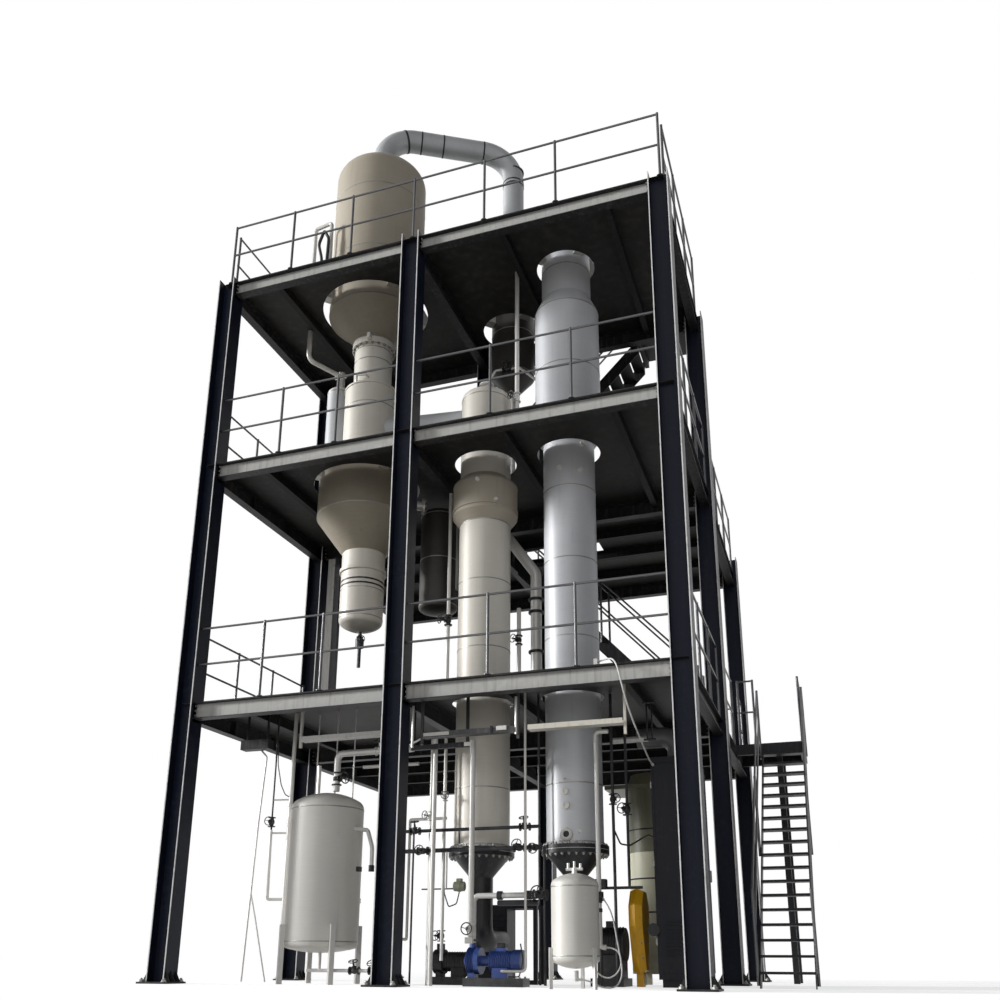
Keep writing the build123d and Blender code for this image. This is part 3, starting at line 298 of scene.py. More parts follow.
paintLooks = {
    # paint, worn paint, dust, roughness, wear, dirt, and what differs from the usual
    "stairPaint": ((0.016, 0.017, 0.020), (0.060, 0.060, 0.062), (0.15, 0.135, 0.115), 0.48, 0.62, 0.22,
                   {"specular": 0.25}),
    "platePaint": ((0.017, 0.017, 0.017), (0.045, 0.043, 0.040), (0.080, 0.070, 0.058), 0.60, 0.62, 0.25,
                   {"specular": 0.15}),
    "pumpBlue": ((0.024, 0.065, 0.27), (0.10, 0.16, 0.36), (0.20, 0.19, 0.18), 0.30, 0.66, 0.15,
                 {"band": ((0.030, 0.032, 0.036), -1.0, 0.112)}),
    "pumpDark": ((0.018, 0.019, 0.022), (0.055, 0.055, 0.056), (0.13, 0.12, 0.10), 0.40, 0.64, 0.22,
                 {"specular": 0.35}),
    "guardOrange": ((0.98, 0.52, 0.012), (0.80, 0.34, 0.02), (0.34, 0.20, 0.09), 0.34, 0.66, 0.14, {}),
    # painted shade: the dark olive band over the silencer's upper part, above 1.95 m
    "silencerCream": ((0.80, 0.79, 0.60), (0.66, 0.64, 0.48), (0.42, 0.38, 0.29), 0.42, 0.62, 0.22,
                      {"band": ((0.20, 0.20, 0.135), 1.95, 99.0)}),
    "enclosureDark": ((0.010, 0.011, 0.017), (0.028, 0.028, 0.034), (0.055, 0.051, 0.048), 0.45, 0.64, 0.24,
                      {"specular": 0.25}),
    "cabinetGrey": ((0.20, 0.205, 0.21), (0.13, 0.13, 0.13), (0.20, 0.18, 0.155), 0.42, 0.63, 0.30, {}),
    "motorGreen": ((0.30, 0.33, 0.23), (0.42, 0.43, 0.33), (0.28, 0.25, 0.20), 0.38, 0.62, 0.28, {}),
    "blackRubber": ((0.018, 0.018, 0.019), (0.045, 0.045, 0.045), (0.12, 0.11, 0.10), 0.62, 0.60, 0.20, {}),
    "whitePaint": ((0.80, 0.79, 0.75), (0.66, 0.64, 0.58), (0.46, 0.42, 0.35), 0.40, 0.64, 0.18, {}),
}
weather = {"broad": 1.1, "mottle": 11, "grain": 140, "runs": 6, "splashLow": 0.05, "splashTop": 0.70,
           "relief": 0.12, "depth": 0.003}


def weathered(paint, wearFrom, wearTo, dirt, strength=weather["relief"]):
    # shares of worn and of dusty paint, and the relief that every painted surface has
    height = paint.axes()[2]
    broad = paint.noise(weather["broad"], 5)
    mottle = paint.noise(weather["mottle"], 4)
    grain = paint.noise(weather["grain"], 2)
    runs = paint.noise(weather["runs"], 5, (3, 3, 0.2))
    worn = paint.ramp(mottle * 0.55 + broad * 0.45, wearFrom, wearTo)
    dusty = paint.ramp(runs, 0.52, 0.70) * dirt
    low = 1 - paint.ramp(height, weather["splashLow"], weather["splashTop"])
    splash = low * paint.ramp(mottle, 0.35, 0.65) * dirt
    relief = paint.bump(grain * 0.4 + mottle * 0.6, strength, weather["depth"])
    return worn, dusty.highest(splash), relief


def makePaint(name, fresh, worn, dust, roughness, wear, dirt, extra):
    paint = newSurface(name)
    wornShare, dusty, relief = weathered(paint, wear - 0.06, wear + 0.10, dirt)
    colour = banded(paint, paint.blend(wornShare, fresh, worn), extra)
    colour = paint.blend(dusty, colour, dust)
    rough = roughness + wornShare * 0.14 + dusty * 0.4
    return paint.give(colour=colour, roughness=rough, specular=extra.get("specular", 0.5), normal=relief)


# the webs of the front beams are grey between dark flanges, and the others are dark; the grey of the front
# webs is painted light, standing in for the sun on them
beamLook = {"web": (0.52, 0.52, 0.50), "webWorn": (0.60, 0.595, 0.57), "flange": (0.018, 0.018, 0.020),
            "flangeWorn": (0.045, 0.044, 0.043), "dust": (0.15, 0.13, 0.11), "depth": 0.250, "edge": 0.013,
            "front": 0.35, "roughness": 0.50, "specular": 0.25}


def makeBeamPaint():
    look = beamLook
    beam = newSurface("beamPaint")
    _, depth, height = beam.axes()
    worn, dusty, relief = weathered(beam, 0.50, 0.66, 0.30)
    bands = []
    for level in deckZ:
        top = level - look["edge"] - deckSheet
        bands.append((height > level - look["depth"] - deckSheet + look["edge"]) * (height < top))
    # the grey front webs are painted light, where the sun falls on the front beams
    web = (bands[0] + bands[1] + bands[2]) * (depth < plan(0, look["front"], 0).y)
    colour = beam.blend(web, beam.blend(worn, look["flange"], look["flangeWorn"]),
                        beam.blend(worn, look["web"], look["webWorn"]))
    colour = beam.blend(dusty, colour, look["dust"])
    rough = look["roughness"] + worn * 0.12 + dusty * 0.2
    return beam.give(colour=colour, roughness=rough, specular=look["specular"], normal=relief)


# the flange tips of the columns that face forward are painted near white, a painted highlight standing in for
# sunlit edges
columnLook = {"paint": (0.007, 0.010, 0.024), "worn": (0.018, 0.022, 0.038), "dust": (0.06, 0.056, 0.054),
              "tip": (0.88, 0.88, 0.86), "tipFront": 0.02, "tipDepth": 0.010, "roughness": 0.42,
              "specular": 0.20}


def makeColumnPaint():
    look = columnLook
    column = newSurface("columnPaint")
    depth = column.axes()[1]
    worn, dusty, relief = weathered(column, 0.52, 0.70, 0.22)
    tips = []
    for y in gridY:
        face = plan(0, y - columnHalf, 0).y
        tips.append((depth > face - look["tipFront"]) * (depth < face + look["tipDepth"]))
    # painted highlight along the forward flange tips, softened where the paint is worn
    tip = (tips[0] + tips[1] + tips[2]) * (1 - worn * 0.4)
    colour = column.blend(worn, look["paint"], look["worn"])
    colour = column.blend(dusty * 0.5, colour, look["dust"])
    colour = column.blend(tip, colour, look["tip"])
    rough = look["roughness"] + worn * 0.14 + dusty * 0.3
    return column.give(colour=colour, roughness=rough, specular=look["specular"], normal=relief)


# the middle tray is dark, the right one cream and the one further back pale
trayLook = {"dark": (0.050, 0.050, 0.053), "cream": (0.74, 0.71, 0.62), "pale": (0.80, 0.79, 0.76),
            "worn": (0.30, 0.28, 0.25), "middle": (3.90, 5.45), "front": 0.60, "roughness": 0.48,
            "relief": 0.10}


def makeTrayPaint():
    look = trayLook
    tray = newSurface("trayPaint")
    x, y, _ = tray.axes()
    worn, dusty, relief = weathered(tray, 0.55, 0.72, 0.25, look["relief"])
    start, end = (plan(edge, 0, 0).x for edge in look["middle"])
    front = y < plan(0, look["front"], 0).y
    colour = tray.blend(front, look["pale"], look["cream"])
    colour = tray.blend((x > start) * (x < end) * front, colour, look["dark"])
    colour = tray.blend((worn * 0.5).highest(dusty), colour, look["worn"])
    return tray.give(colour=colour, roughness=look["roughness"] + worn * 0.15, normal=relief)


# chequer plate, with its lozenges across the two diagonals
plateLook = {"steel": (0.020, 0.020, 0.019), "worn": (0.042, 0.040, 0.037), "dust": (0.070, 0.060, 0.050),
             "pitch": 26, "broad": 0.8, "mottle": 7, "roughness": 0.50, "specular": 0.2, "metallic": 0.1}


def makePlate():
    look = plateLook
    plate = newSurface("plateSteel")
    x, y, _ = plate.axes()
    broad = plate.noise(look["broad"], 5)
    mottle = plate.noise(look["mottle"], 5)
    turns = look["pitch"] * 2 * pi
    rows, lines = (plate.node("ShaderNodeMath", {"operation": "SINE"}, {0: way * turns})
                   for way in (x + y, x - y))
    lozenge = plate.ramp(rows * lines, 0.15, 0.55)
    colour = plate.blend(plate.ramp(broad * 0.5 + mottle * 0.5, 0.42, 0.66), look["steel"], look["worn"])
    colour = plate.blend(plate.ramp(mottle, 0.55, 0.75) * 0.5, colour, look["dust"])
    rough = look["roughness"] + mottle * 0.2 - lozenge * 0.08
    return plate.give(colour=colour, roughness=rough, metallic=look["metallic"], specular=look["specular"],
                      normal=plate.bump(lozenge, 0.25, 0.002))


hoseLook = {"white": (0.80, 0.80, 0.78), "grime": (0.50, 0.47, 0.42), "roughness": 0.42}
dialLook = {"white": (0.82, 0.82, 0.80), "yellowed": (0.62, 0.60, 0.55), "roughness": 0.25, "coat": 0.6,
            "coatRoughness": 0.05}


def makeHoseSkin():
    skin = newSurface("hoseWhite")
    mottle = skin.noise(18, 4)
    grime = skin.ramp(skin.noise(4, 5), 0.48, 0.75) * 0.45
    colour = skin.blend(grime, hoseLook["white"], hoseLook["grime"])
    return skin.give(colour=colour, roughness=hoseLook["roughness"] + mottle * 0.12,
                     normal=skin.bump(mottle, 0.08, 0.002))


def makeDialWhite():
    dial = newSurface("dialWhite")
    mottle = dial.noise(25, 3)
    colour = dial.blend(dial.ramp(mottle, 0.4, 0.8) * 0.3, dialLook["white"], dialLook["yellowed"])
    return dial.give(colour=colour, roughness=dialLook["roughness"] + mottle * 0.1, coat=dialLook["coat"],
                     coatRoughness=dialLook["coatRoughness"])


finish = {name: makeSteel(name, *look) for name, look in steelLooks.items()}
finish.update({name: makePaint(name, *look) for name, look in paintLooks.items()})
for makeFinish in (makePlate, makeBeamPaint, makeColumnPaint, makeTrayPaint, makeHoseSkin, makeDialWhite):
    material = makeFinish()
    finish[material.name] = material
print("materials made:", len(finish))

nodeFinish = {
    "columnPaint": ("columns",),
    "stairPaint": ("column_bases", "landing_posts", "stair_stringers", "stair_treads", "stair_landings"),
    "beamPaint": ("deck_1_beams", "deck_2_beams", "deck_3_beams"),
    "platePaint": ("floor_joists",),
    "plateSteel": ("deck_1_floor", "deck_2_floor", "deck_3_floor"),
    "railSteel": ("deck_1_rails", "deck_2_rails", "deck_3_rails", "stair_rails"),
    # the first heater's channel takes the tan cladding as painted shade, darker than its cream cap and shell
    "tanCladdingAndChannelShade": ("separator_head", "separator_shell", "heater_1_channel"),
    # painted shade: the funnel and the crystalliser take the darker copy of the tan cladding, the funnel's
    # neck painted light
    "paintedShadeCladding": ("separator_funnel", "crystalliser_body", "crystalliser_cone"),
    "creamSteel": ("heater_1_cap", "heater_1_shell", "crystalliser_crown", "salt_leg", "salt_leg_bottom"),
    "coolSteel": ("heater_2_head", "heater_2_jacket", "heater_2_shell"),
    # painted shade: the demister and the condensate pot are near black for the shade they stand in
    "paintedShadeBlackCladding": ("demister_shell", "demister_ends", "condensate_pot"),
    "vesselSteel": ("vessel_brackets",),
    "ductSteel": ("vapour_duct_elbows", "vapour_duct_run", "crossover_duct", "buffer_tank"),
    "tankSteel": ("wash_tank", "air_receiver", "tank_ends"),
    "pipeSteel": ("process_pipes", "tank_legs", "hose_fittings"),
    "pumpBlue": ("feed_pump",),
    "pumpDark": ("circulation_pump", "blower_motor", "heater_bottoms", "service_pipes"),
    "enclosureDark": ("compressor_enclosure", "control_cabinet"),
    "guardOrange": ("belt_guard",),
    "silencerCream": ("silencer",),
    "cabinetGrey": ("compressor_duct",),
    "trayPaint": ("cable_trays",),
}


def dressNodes():
    for look, names in nodeFinish.items():
        for name in names:
            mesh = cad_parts[name].data
            mesh.materials.clear()
            mesh.materials.append(finish[look])


# Modelling helpers: each part is made with operators, placed, and kept in a group until its piece is joined.
groups = {}


def put(group, part):
    groups.setdefault(group, []).append(part)


def active():
    return bpy.context.view_layer.objects.active


def deselect():
    bpy.ops.object.select_all(action="DESELECT")


def facing(direction, spin=0.0):
    return Vector(direction).to_track_quat("Z", "Y").to_matrix().to_4x4() @ Matrix.Rotation(spin, 4, "Z")


def placed(part, at, direction=zAxis):
    part.data.transform(Matrix.Translation(at) @ facing(direction))
    return part


def copied(part, matrix):
    copy = part.copy()
    copy.data = part.data.copy()
    scene.collection.objects.link(copy)
    copy.data.transform(matrix)
    return copy


def twin(part, at, direction=zAxis, spin=0.0, scale=1.0):
    return copied(part, Matrix.Translation(at) @ facing(direction, spin) @ Matrix.Scale(scale, 4))


def turned(outline, sides=32, closed=False):
    deselect()
    radius, height = outline[0]
    fill = "NOTHING" if closed else "NGON"
    bpy.ops.mesh.primitive_circle_add(vertices=sides, radius=radius, fill_type=fill, location=(0, 0, 0))
    part = active()
    bpy.ops.object.mode_set(mode="EDIT")
    bpy.ops.mesh.select_all(action="SELECT")
    bpy.ops.transform.translate(value=(0, 0, height))
    steps = list(outline[1:]) + ([outline[0]] if closed else [])
    for nextRadius, nextHeight in steps:
        if closed:
            bpy.ops.mesh.extrude_edges_move()
        else:
            bpy.ops.mesh.extrude_region_move()
        bpy.ops.transform.translate(value=(0, 0, nextHeight - height))
        if nextRadius != radius:
            share = nextRadius / radius
            bpy.ops.transform.resize(value=(share, share, 1), center_override=(0, 0, nextHeight))
        radius, height = nextRadius, nextHeight
    bpy.ops.mesh.select_all(action="SELECT")
    bpy.ops.mesh.remove_doubles(threshold=0.00001)
    bpy.ops.mesh.normals_make_consistent(inside=False)
    bpy.ops.object.mode_set(mode="OBJECT")
    return part


def boxed(x0, x1, y0, y1, z0, z1, edge=0.0):
    deselect()
    bpy.ops.mesh.primitive_cube_add(size=1, location=(0, 0, 0))
    part = active()
    bpy.ops.object.mode_set(mode="EDIT")
    bpy.ops.mesh.select_all(action="SELECT")
    bpy.ops.transform.resize(value=(x1 - x0, y1 - y0, z1 - z0), center_override=(0, 0, 0))
    bpy.ops.transform.translate(value=((x0 + x1) / 2, (y0 + y1) / 2, (z0 + z1) / 2))
    if edge:
        bpy.ops.mesh.bevel(offset=edge, segments=1, affect="EDGES")
    bpy.ops.object.mode_set(mode="OBJECT")
    return part


def planBox(x0, x1, y0, y1, z0, z1, edge=0.0):
    low = plan(x0, y0, z0)
    high = plan(x1, y1, z1)
    return boxed(low.x, high.x, low.y, high.y, low.z, high.z, edge)


def bar(start, end, radius, sides):
    line = Vector(end) - Vector(start)
    rim = min(radius * 0.15, line.length * 0.2)
    inner = radius - rim
    part = turned([(inner, 0), (radius, rim), (radius, line.length - rim), (inner, line.length)], sides)
    return placed(part, Vector(start), line)


def joined(parts):
    deselect()
    for part in parts:
        part.select_set(True)
    bpy.context.view_layer.objects.active = parts[0]
    if len(parts) > 1:
        bpy.ops.object.join()
    return active()


def joinGroup(group, name, look, smooth=35):
    piece = joined(groups.pop(group))
    piece.name = name
    piece.data.name = name
    piece.data.materials.clear()
    piece.data.materials.append(finish[look])
    bpy.ops.object.shade_smooth_by_angle(angle=radians(smooth))
    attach(piece, "root")


def dispose(*parts):
    for part in parts:
        bpy.data.meshes.remove(part.data)


# Fasteners: a washer, a six-sided nut and the end of the bolt
fastener = {"nutRadius": 0.019, "nutHeight": 0.016, "washer": 0.025, "washerHeight": 0.004, "bolt": 0.010}


def makeNut():
    size = fastener
    height = size["nutHeight"]
    washer = turned([(size["washer"], 0), (size["washer"], size["washerHeight"])], 12)
    hexagon = turned([(size["nutRadius"], 0.003), (size["nutRadius"], height),
                      (size["nutRadius"] * 0.8, height + 0.003)], 6)
    shank = turned([(size["bolt"], 0.01), (size["bolt"], height + 0.012), (0.007, height + 0.015)], 8)
    return joined([washer, hexagon, shank])


nut = makeNut()


def bolts(group, places, direction=zAxis, scale=1.0):
    for place in places:
        put(group, twin(nut, place, direction, 0, scale))


def ringPlaces(centre, radius, count, first=0.0):
    turn = 2 * pi / count
    return [Vector(centre) + Vector((cos(first + turn * i), sin(first + turn * i), 0)) * radius
            for i in range(count)]


def outward(angle):
    return Vector((cos(radians(angle)), sin(radians(angle)), 0))


def around(key, radius, angle, z):
    x, y = vessels[key]
    return plan(x, y, z) + outward(angle) * radius


# Stage: floor, studio world and lamps
studio = {"floorSize": 400, "floorDrop": 0.002, "floorColour": (0.90, 0.90, 0.90),
          "floorShade": (0.72, 0.70, 0.67), "floorGlow": 0.66,
          "skyBright": (0.135, 0.135, 0.138), "skyDim": (0.05, 0.053, 0.06),
          "backdropDim": (0.06, 0.064, 0.072), "backdropColour": (1.0, 1.0, 1.0), "backdropRise": 0.35,
          "keyDirection": (-0.94, -0.34, 0.25), "keyPower": 3.3, "keySoftness": 10.0,
          "fillDirection": (0.30, -1.0, 0.35), "fillPower": 0.50, "fillSoftness": 40.0}


def rays(surface):
    # camera rays alone, and camera rays with those of reflections and glass
    toCamera = surface.node("ShaderNodeLightPath", out="Is Camera Ray")
    glossy, through = (toCamera.beside(name) for name in ("Is Glossy Ray", "Is Transmission Ray"))
    return toCamera, toCamera.highest(glossy).highest(through)


def makeFloor():
    deselect()
    bpy.ops.mesh.primitive_plane_add(size=studio["floorSize"], location=(0, 0, -studio["floorDrop"]))
    floor = active()
    floor.name = "studio_floor"
    cover = newSurface("studioFloor")
    seen = rays(cover)[1]
    colour = cover.blend(seen, studio["floorShade"], studio["floorColour"])
    glow = cover.blend(seen * studio["floorGlow"], (0.0, 0.0, 0.0), (1.0, 1.0, 1.0))
    cover.give(colour=colour, roughness=0.9, specular=0.0, emission=glow, glow=1.0)
    floor.data.materials.append(cover.owner)


def makeWorld():
    world = bpy.data.worlds.new("studio")
    scene.world = world
    sky = Surface(world, "Generated")
    key = Vector(studio["keyDirection"]).normalized()
    behind = Vector((-sin(camera["yaw"]), cos(camera["yaw"]), studio["backdropRise"])).normalized()
    toKey, toBack = (sky.node("ShaderNodeVectorMath", {"operation": "DOT_PRODUCT"},
                              {0: sky.place, 1: tuple(way)}, "Value") for way in (key, behind))
    light = sky.blend(sky.ramp(toKey, -0.55, 0.95), studio["skyDim"], studio["skyBright"])
    bright = sky.ramp(toBack, 0.10, 0.45).highest(sky.ramp(toKey, 0.15, 0.80))
    reflected = sky.blend(bright, studio["backdropDim"], studio["backdropColour"])
    toCamera, seen = rays(sky)
    colour = sky.blend(seen, light, reflected)
    colour = sky.blend(toCamera, colour, studio["backdropColour"])
    background = sky.tree.nodes["Background"]
    background.inputs["Strength"].default_value = 1.0
    sky.tree.links.new(colour.socket, background.inputs["Color"])


def makeLamp(name, direction, power, softness):
    data = bpy.data.lights.new(name, "SUN")
    data.energy = power
    data.angle = radians(softness)
    lamp = bpy.data.objects.new(name, data)
    scene.collection.objects.link(lamp)
    lamp.matrix_world = facing(direction)


def makeStage():
    makeFloor()
    makeWorld()
    for lamp in ("key", "fill"):
        makeLamp(lamp + "_lamp", *(studio[lamp + value] for value in ("Direction", "Power", "Softness")))
    scene.view_settings.view_transform = "Standard"


makeCamera()
makeStage()
makeHoses()
dressNodes()
print("camera, stage, hoses and node finishes are in place")

# Frame works: anchor nuts, beam end plates with their bolts, web stiffeners
frameWorks = {"anchorPitch": 0.19, "anchorZ": 0.025, "anchorScale": 1.7,
              "plateHalf": 0.085, "plateDepth": 0.30, "plateThick": 0.014,
              "boltY": (-0.05, 0.05), "boltDrop": (0.05, 0.125, 0.20), "boltScale": 0.8,
              "beamDepth": 0.25, "beamHalf": 0.075, "flange": 0.012, "ribHalf": 0.004,
              "joistX": (1.05, 5.13, 6.85), "sideY": (1.30, 2.50)}


def makeAnchors():
    works = frameWorks
    reach = (-works["anchorPitch"], works["anchorPitch"])
    for x in gridX:
        for y in gridY:
            corners = [plan(x + dx, y + dy, works["anchorZ"]) for dx in reach for dy in reach]
            bolts("anchors", corners, zAxis, works["anchorScale"])
    joinGroup("anchors", "anchor_nuts", "boltSteel", 30)


def makeEndPlates():
    works = frameWorks
    half = works["plateHalf"]
    plate = boxed(0, works["plateThick"], -half, half, -works["plateDepth"], 0, 0.003)
    for deck, level in enumerate(deckZ):
        top = level - deckSheet
        # the top deck ends at the second row of columns
        for y in (gridY[:2] if deck == 2 else gridY):
            for x0, x1 in zip(gridX, gridX[1:]):
                for x, side, spin in ((x0 + columnHalf, 1, 0), (x1 - columnHalf, -1, pi)):
                    put("endPlates", twin(plate, plan(x, y, top), zAxis, spin))
                    heads = [plan(x + side * works["plateThick"], y + dy, top - dz)
                             for dy in works["boltY"] for dz in works["boltDrop"]]
                    bolts("endBolts", heads, (side, 0, 0), works["boltScale"])
    dispose(plate)
    joinGroup("endPlates", "beam_end_plates", "beamPaint", 30)
    joinGroup("endBolts", "beam_end_bolts", "boltSteel", 30)


def makeStiffeners():
    works = frameWorks
    half, flange = works["ribHalf"], works["flange"]
    rib = boxed(-half, half, 0.002 - works["beamHalf"], -half, flange - works["beamDepth"], -flange)
    places = [(x, gridY[0], 0) for x in works["joistX"]]
    places += [(x, y, spin) for y in works["sideY"] for x, spin in ((gridX[0], -pi / 2), (gridX[2], pi / 2))]
    for level in deckZ:
        for x, y, spin in places:
            put("stiffeners", twin(rib, plan(x, y, level - deckSheet), zAxis, spin))
    dispose(rib)
    joinGroup("stiffeners", "web_stiffeners", "beamPaint", 30)


# Rails: a round foot with two bolts under each post of the front rails
railWorks = {"footRadius": 0.055, "footThick": 0.008, "boltGap": 0.04, "boltScale": 0.5, "y": 0.10,
             "posts": ((1.42, 2.43, 5.03, 6.29), (1.42, 2.43, 5.03, 6.29),
                       (0.19, 1.37, 2.51, 3.66, 4.90, 6.09, 7.73))}


def makePostFeet():
    size = railWorks
    radius, thick, gap = size["footRadius"], size["footThick"], size["boltGap"]
    foot = turned([(radius, 0), (radius, thick), (0.028, thick + 0.004), (0.0215, 0.03)], 20)
    for level, posts in zip(deckZ, size["posts"]):
        for x in posts:
            place = plan(x, size["y"], level)
            put("feet", twin(foot, place))
            heads = [place + Vector((dx, 0, thick)) for dx in (-gap, gap)]
            bolts("feetBolts", heads, zAxis, size["boltScale"])
    dispose(foot)
    joinGroup("feet", "post_feet", "railSteel")
    joinGroup("feetBolts", "post_foot_bolts", "boltSteel", 30)


# Seams: a narrow weld bead at each radius and height
seams = {
    "separator": [(0.835, z) for z in (11.52, 12.55, 13.90)] + [(0.335, z) for z in (10.78, 10.55)]
    + [(0.820, 8.60), (0.820, 7.51), (0.465, 9.60), (0.360, 6.20), (0.360, 5.72)],
    "heater1": [(0.410, z) for z in (1.93, 2.75, 3.60, 4.90, 6.00, 7.00, 8.60, 9.28)] + [(0.520, 7.68)],
    "heater2": [(0.410, z) for z in (1.93, 2.75, 3.60, 4.95, 6.20, 7.40, 8.24, 11.50, 12.03)]
    + [(0.530, z) for z in (8.44, 9.55, 10.70)],
    "demister": [(0.395, z) for z in (10.66, 11.50, 12.35)],
    "wash": [(0.540, z) for z in (0.585, 2.50)],
    "receiver": [(0.300, z) for z in (0.39, 1.23)],
    "buffer": [(0.240, z) for z in (8.36, 9.40, 10.62)],
    "pot": [(0.330, z) for z in (6.17, 7.00, 7.84)],
}
seamSize = {"bead": 0.0045, "shoulder": 0.00315, "sunk": 0.003, "half": 0.011, "flat": 0.008}


def makeSeams():
    size = seamSize
    for key, rings in seams.items():
        for radius, z in rings:
            root, shoulder = radius - size["sunk"], radius + size["shoulder"]
            ring = turned([(root, z - size["half"]), (shoulder, z - size["flat"]), (radius + size["bead"], z),
                           (shoulder, z + size["flat"]), (root, z + size["half"])], 96, True)
            put("seams", placed(ring, plan(*vessels[key], 0)))
    joinGroup("seams", "weld_seams", "boltSteel", 50)


# Vessel flanges with their bolts
flangePairs = [
    # vessel, bolt circle, number of bolts, upper and lower face
    ("separator", 0.362, 20, 10.950, 10.840),
    ("heater1", 0.447, 28, 1.890, 1.770),
    ("heater2", 0.447, 28, 1.890, 1.770),
]
gasketSize = {"inner": 0.478, "outer": 0.4845, "z": (1.828, 1.834)}


def makeFlangeBolts():
    for key, radius, count, upper, lower in flangePairs:
        for z, side in ((upper, 1), (lower, -1)):
            places = ringPlaces(plan(*vessels[key], z), radius, count, 0.06)
            bolts("flangeBolts", places, (0, 0, side), 1.15)
    inner, outer, (low, high) = gasketSize["inner"], gasketSize["outer"], gasketSize["z"]
    for key in ("heater1", "heater2"):
        gasket = turned([(inner, low), (outer, low), (outer, high), (inner, high)], 96, True)
        put("gaskets", placed(gasket, plan(*vessels[key], 0)))
    joinGroup("flangeBolts", "vessel_flange_bolts", "boltSteel", 30)
    joinGroup("gaskets", "vessel_gaskets", "dialWhite", 30)


def coverBolts(start, direction, radius, height, count, first, scale):
    turn = facing(direction).to_3x3()
    places = [start + turn @ place for place in ringPlaces((0, 0, height), radius, count, first)]
    bolts("nozzleBolts", places, direction, scale)


# A nozzle that stands out of a vessel's wall, closed by a bolted cover
def nozzle(start, direction, radius, reach):
    flange, cover = radius * 1.75, radius * 1.70
    part = turned([(radius, -0.02), (radius, reach - 0.02), (flange, reach - 0.02), (flange, reach),
                   (cover, reach + 0.002), (cover, reach + 0.018), (radius * 0.6, reach + 0.022)], 28)
    put("nozzles", placed(part, start, direction))
    count = 8 if radius > 0.04 else 4
    coverBolts(start, direction, radius * 1.42, reach + 0.018, count, pi / count, min(1.0, radius * 14))


# Valves: modelled once each along +Z with the spindle towards +X, then copied to their places
valveLook = {"body": 0.045, "flange": 0.075, "half": 0.10, "stem": 0.17, "wheel": 0.085}


def makeValve():
    look = valveLook
    half = look["half"]
    body = turned([(look["flange"], -half), (look["flange"], -half + 0.018), (0.034, -half + 0.022),
                   (look["body"], -0.045), (look["body"] + 0.012, -0.02), (look["body"] + 0.012, 0.02),
                   (look["body"], 0.045), (0.034, half - 0.022), (look["flange"], half - 0.018),
                   (look["flange"], half)], 20)
    bonnet = placed(turned([(0.040, 0.0), (0.040, 0.055), (0.052, 0.057), (0.052, 0.075), (0.022, 0.080),
                            (0.017, look["stem"] - 0.02), (0.010, look["stem"] - 0.015),
                            (0.010, look["stem"] + 0.03)], 14), (0, 0, 0), (1, 0, 0))
    return joined([body, bonnet])


def makeWheel():
    radius = valveLook["wheel"]
    inner, side, outer = radius - 0.008, radius + 0.004, radius + 0.008
    rim = turned([(inner, -0.007), (side, -0.008), (outer, 0), (side, 0.008), (inner, 0.007)], 28, True)
    hub = turned([(0.018, -0.012), (0.020, 0.0), (0.014, 0.014)], 12)
    spokes = [bar((0, 0, 0), place, 0.006, 6) for place in ringPlaces((0, 0, 0), radius - 0.004, 3, 0.3)]
    return joined([rim, hub, *spokes])


valve = makeValve()
wheel = makeWheel()
valveSpots = {
    # place in plan metres, pipe direction, spindle direction, scale
    "valves": [
        ((4.59, 0.75, 0.74), (0, 0, 1), (0, -1, 0), 0.9),
        ((3.80, 1.15, 2.35), (0, 0, 1), (-0.5, -1, 0), 0.7),
        ((4.02, 1.12, 2.62), (0, 0, 1), (0.4, -1, 0), 0.65),
        ((2.95, 1.15, 3.37), (1, 0, 0), (0, -0.6, 1), 0.9),
        ((5.03, 1.40, 9.20), (0, 0, 1), (-0.6, -1, 0), 0.8),
        ((4.44, 2.95, 9.30), (0, 0, 1), (0.3, -1, 0), 1.0),
    ],
    "darkValves": [
        ((5.28, 1.00, 2.115), (1, 0, 0), (0, -0.5, 1), 0.75),
        ((5.43, 1.00, 1.83), (1, 0, 0), (0, -1, -0.2), 0.8),
        ((5.20, 1.00, 1.83), (1, 0, 0), (0, -1, 0.3), 0.8),
        ((3.62, 1.00, 2.115), (1, 0, 0), (0, -0.3, 1), 0.75),
        ((3.75, 1.00, 1.83), (1, 0, 0), (0, -1, 0), 0.8),
        ((2.22, 1.15, 2.98), (0, 0, 1), (1, -0.35, 0), 1.0),
        ((1.16, 1.10, 2.36), (0, 0, 1), (0.2, -1, 0), 0.75),
        ((3.73, 1.80, 5.60), (0, 0, 1), (-0.9, -1, 0), 0.85),
        ((4.735, 2.40, 5.35), (0, 0, 1), (-0.5, -1, 0), 0.8),
        ((2.22, 1.66, 5.36), (0, 0, 1), (0.7, -1, 0), 0.75),
        ((4.48, 2.50, 10.56), (1, 0, 0), (0, -0.3, 1), 0.8),
        ((5.50, 1.00, 1.19), (1, 0, 0), (0, -1, 0.15), 1.0),
        ((6.62, 1.50, 2.37), (0, 0, 1), (-0.3, -1, 0), 0.85),
        ((6.42, 1.50, 2.52), (0, 0, 1), (0.6, -1, 0), 0.75),
        ((2.85, 0.80, 0.19), (1, 0, 0), (0, -0.4, 1), 0.75),
        ((3.15, 0.80, 0.19), (1, 0, 0), (0, -0.8, 1), 0.75),
        ((3.75, 1.75, 0.68), (0, 0, 1), (-0.3, -1, 0), 0.8),
    ],
}


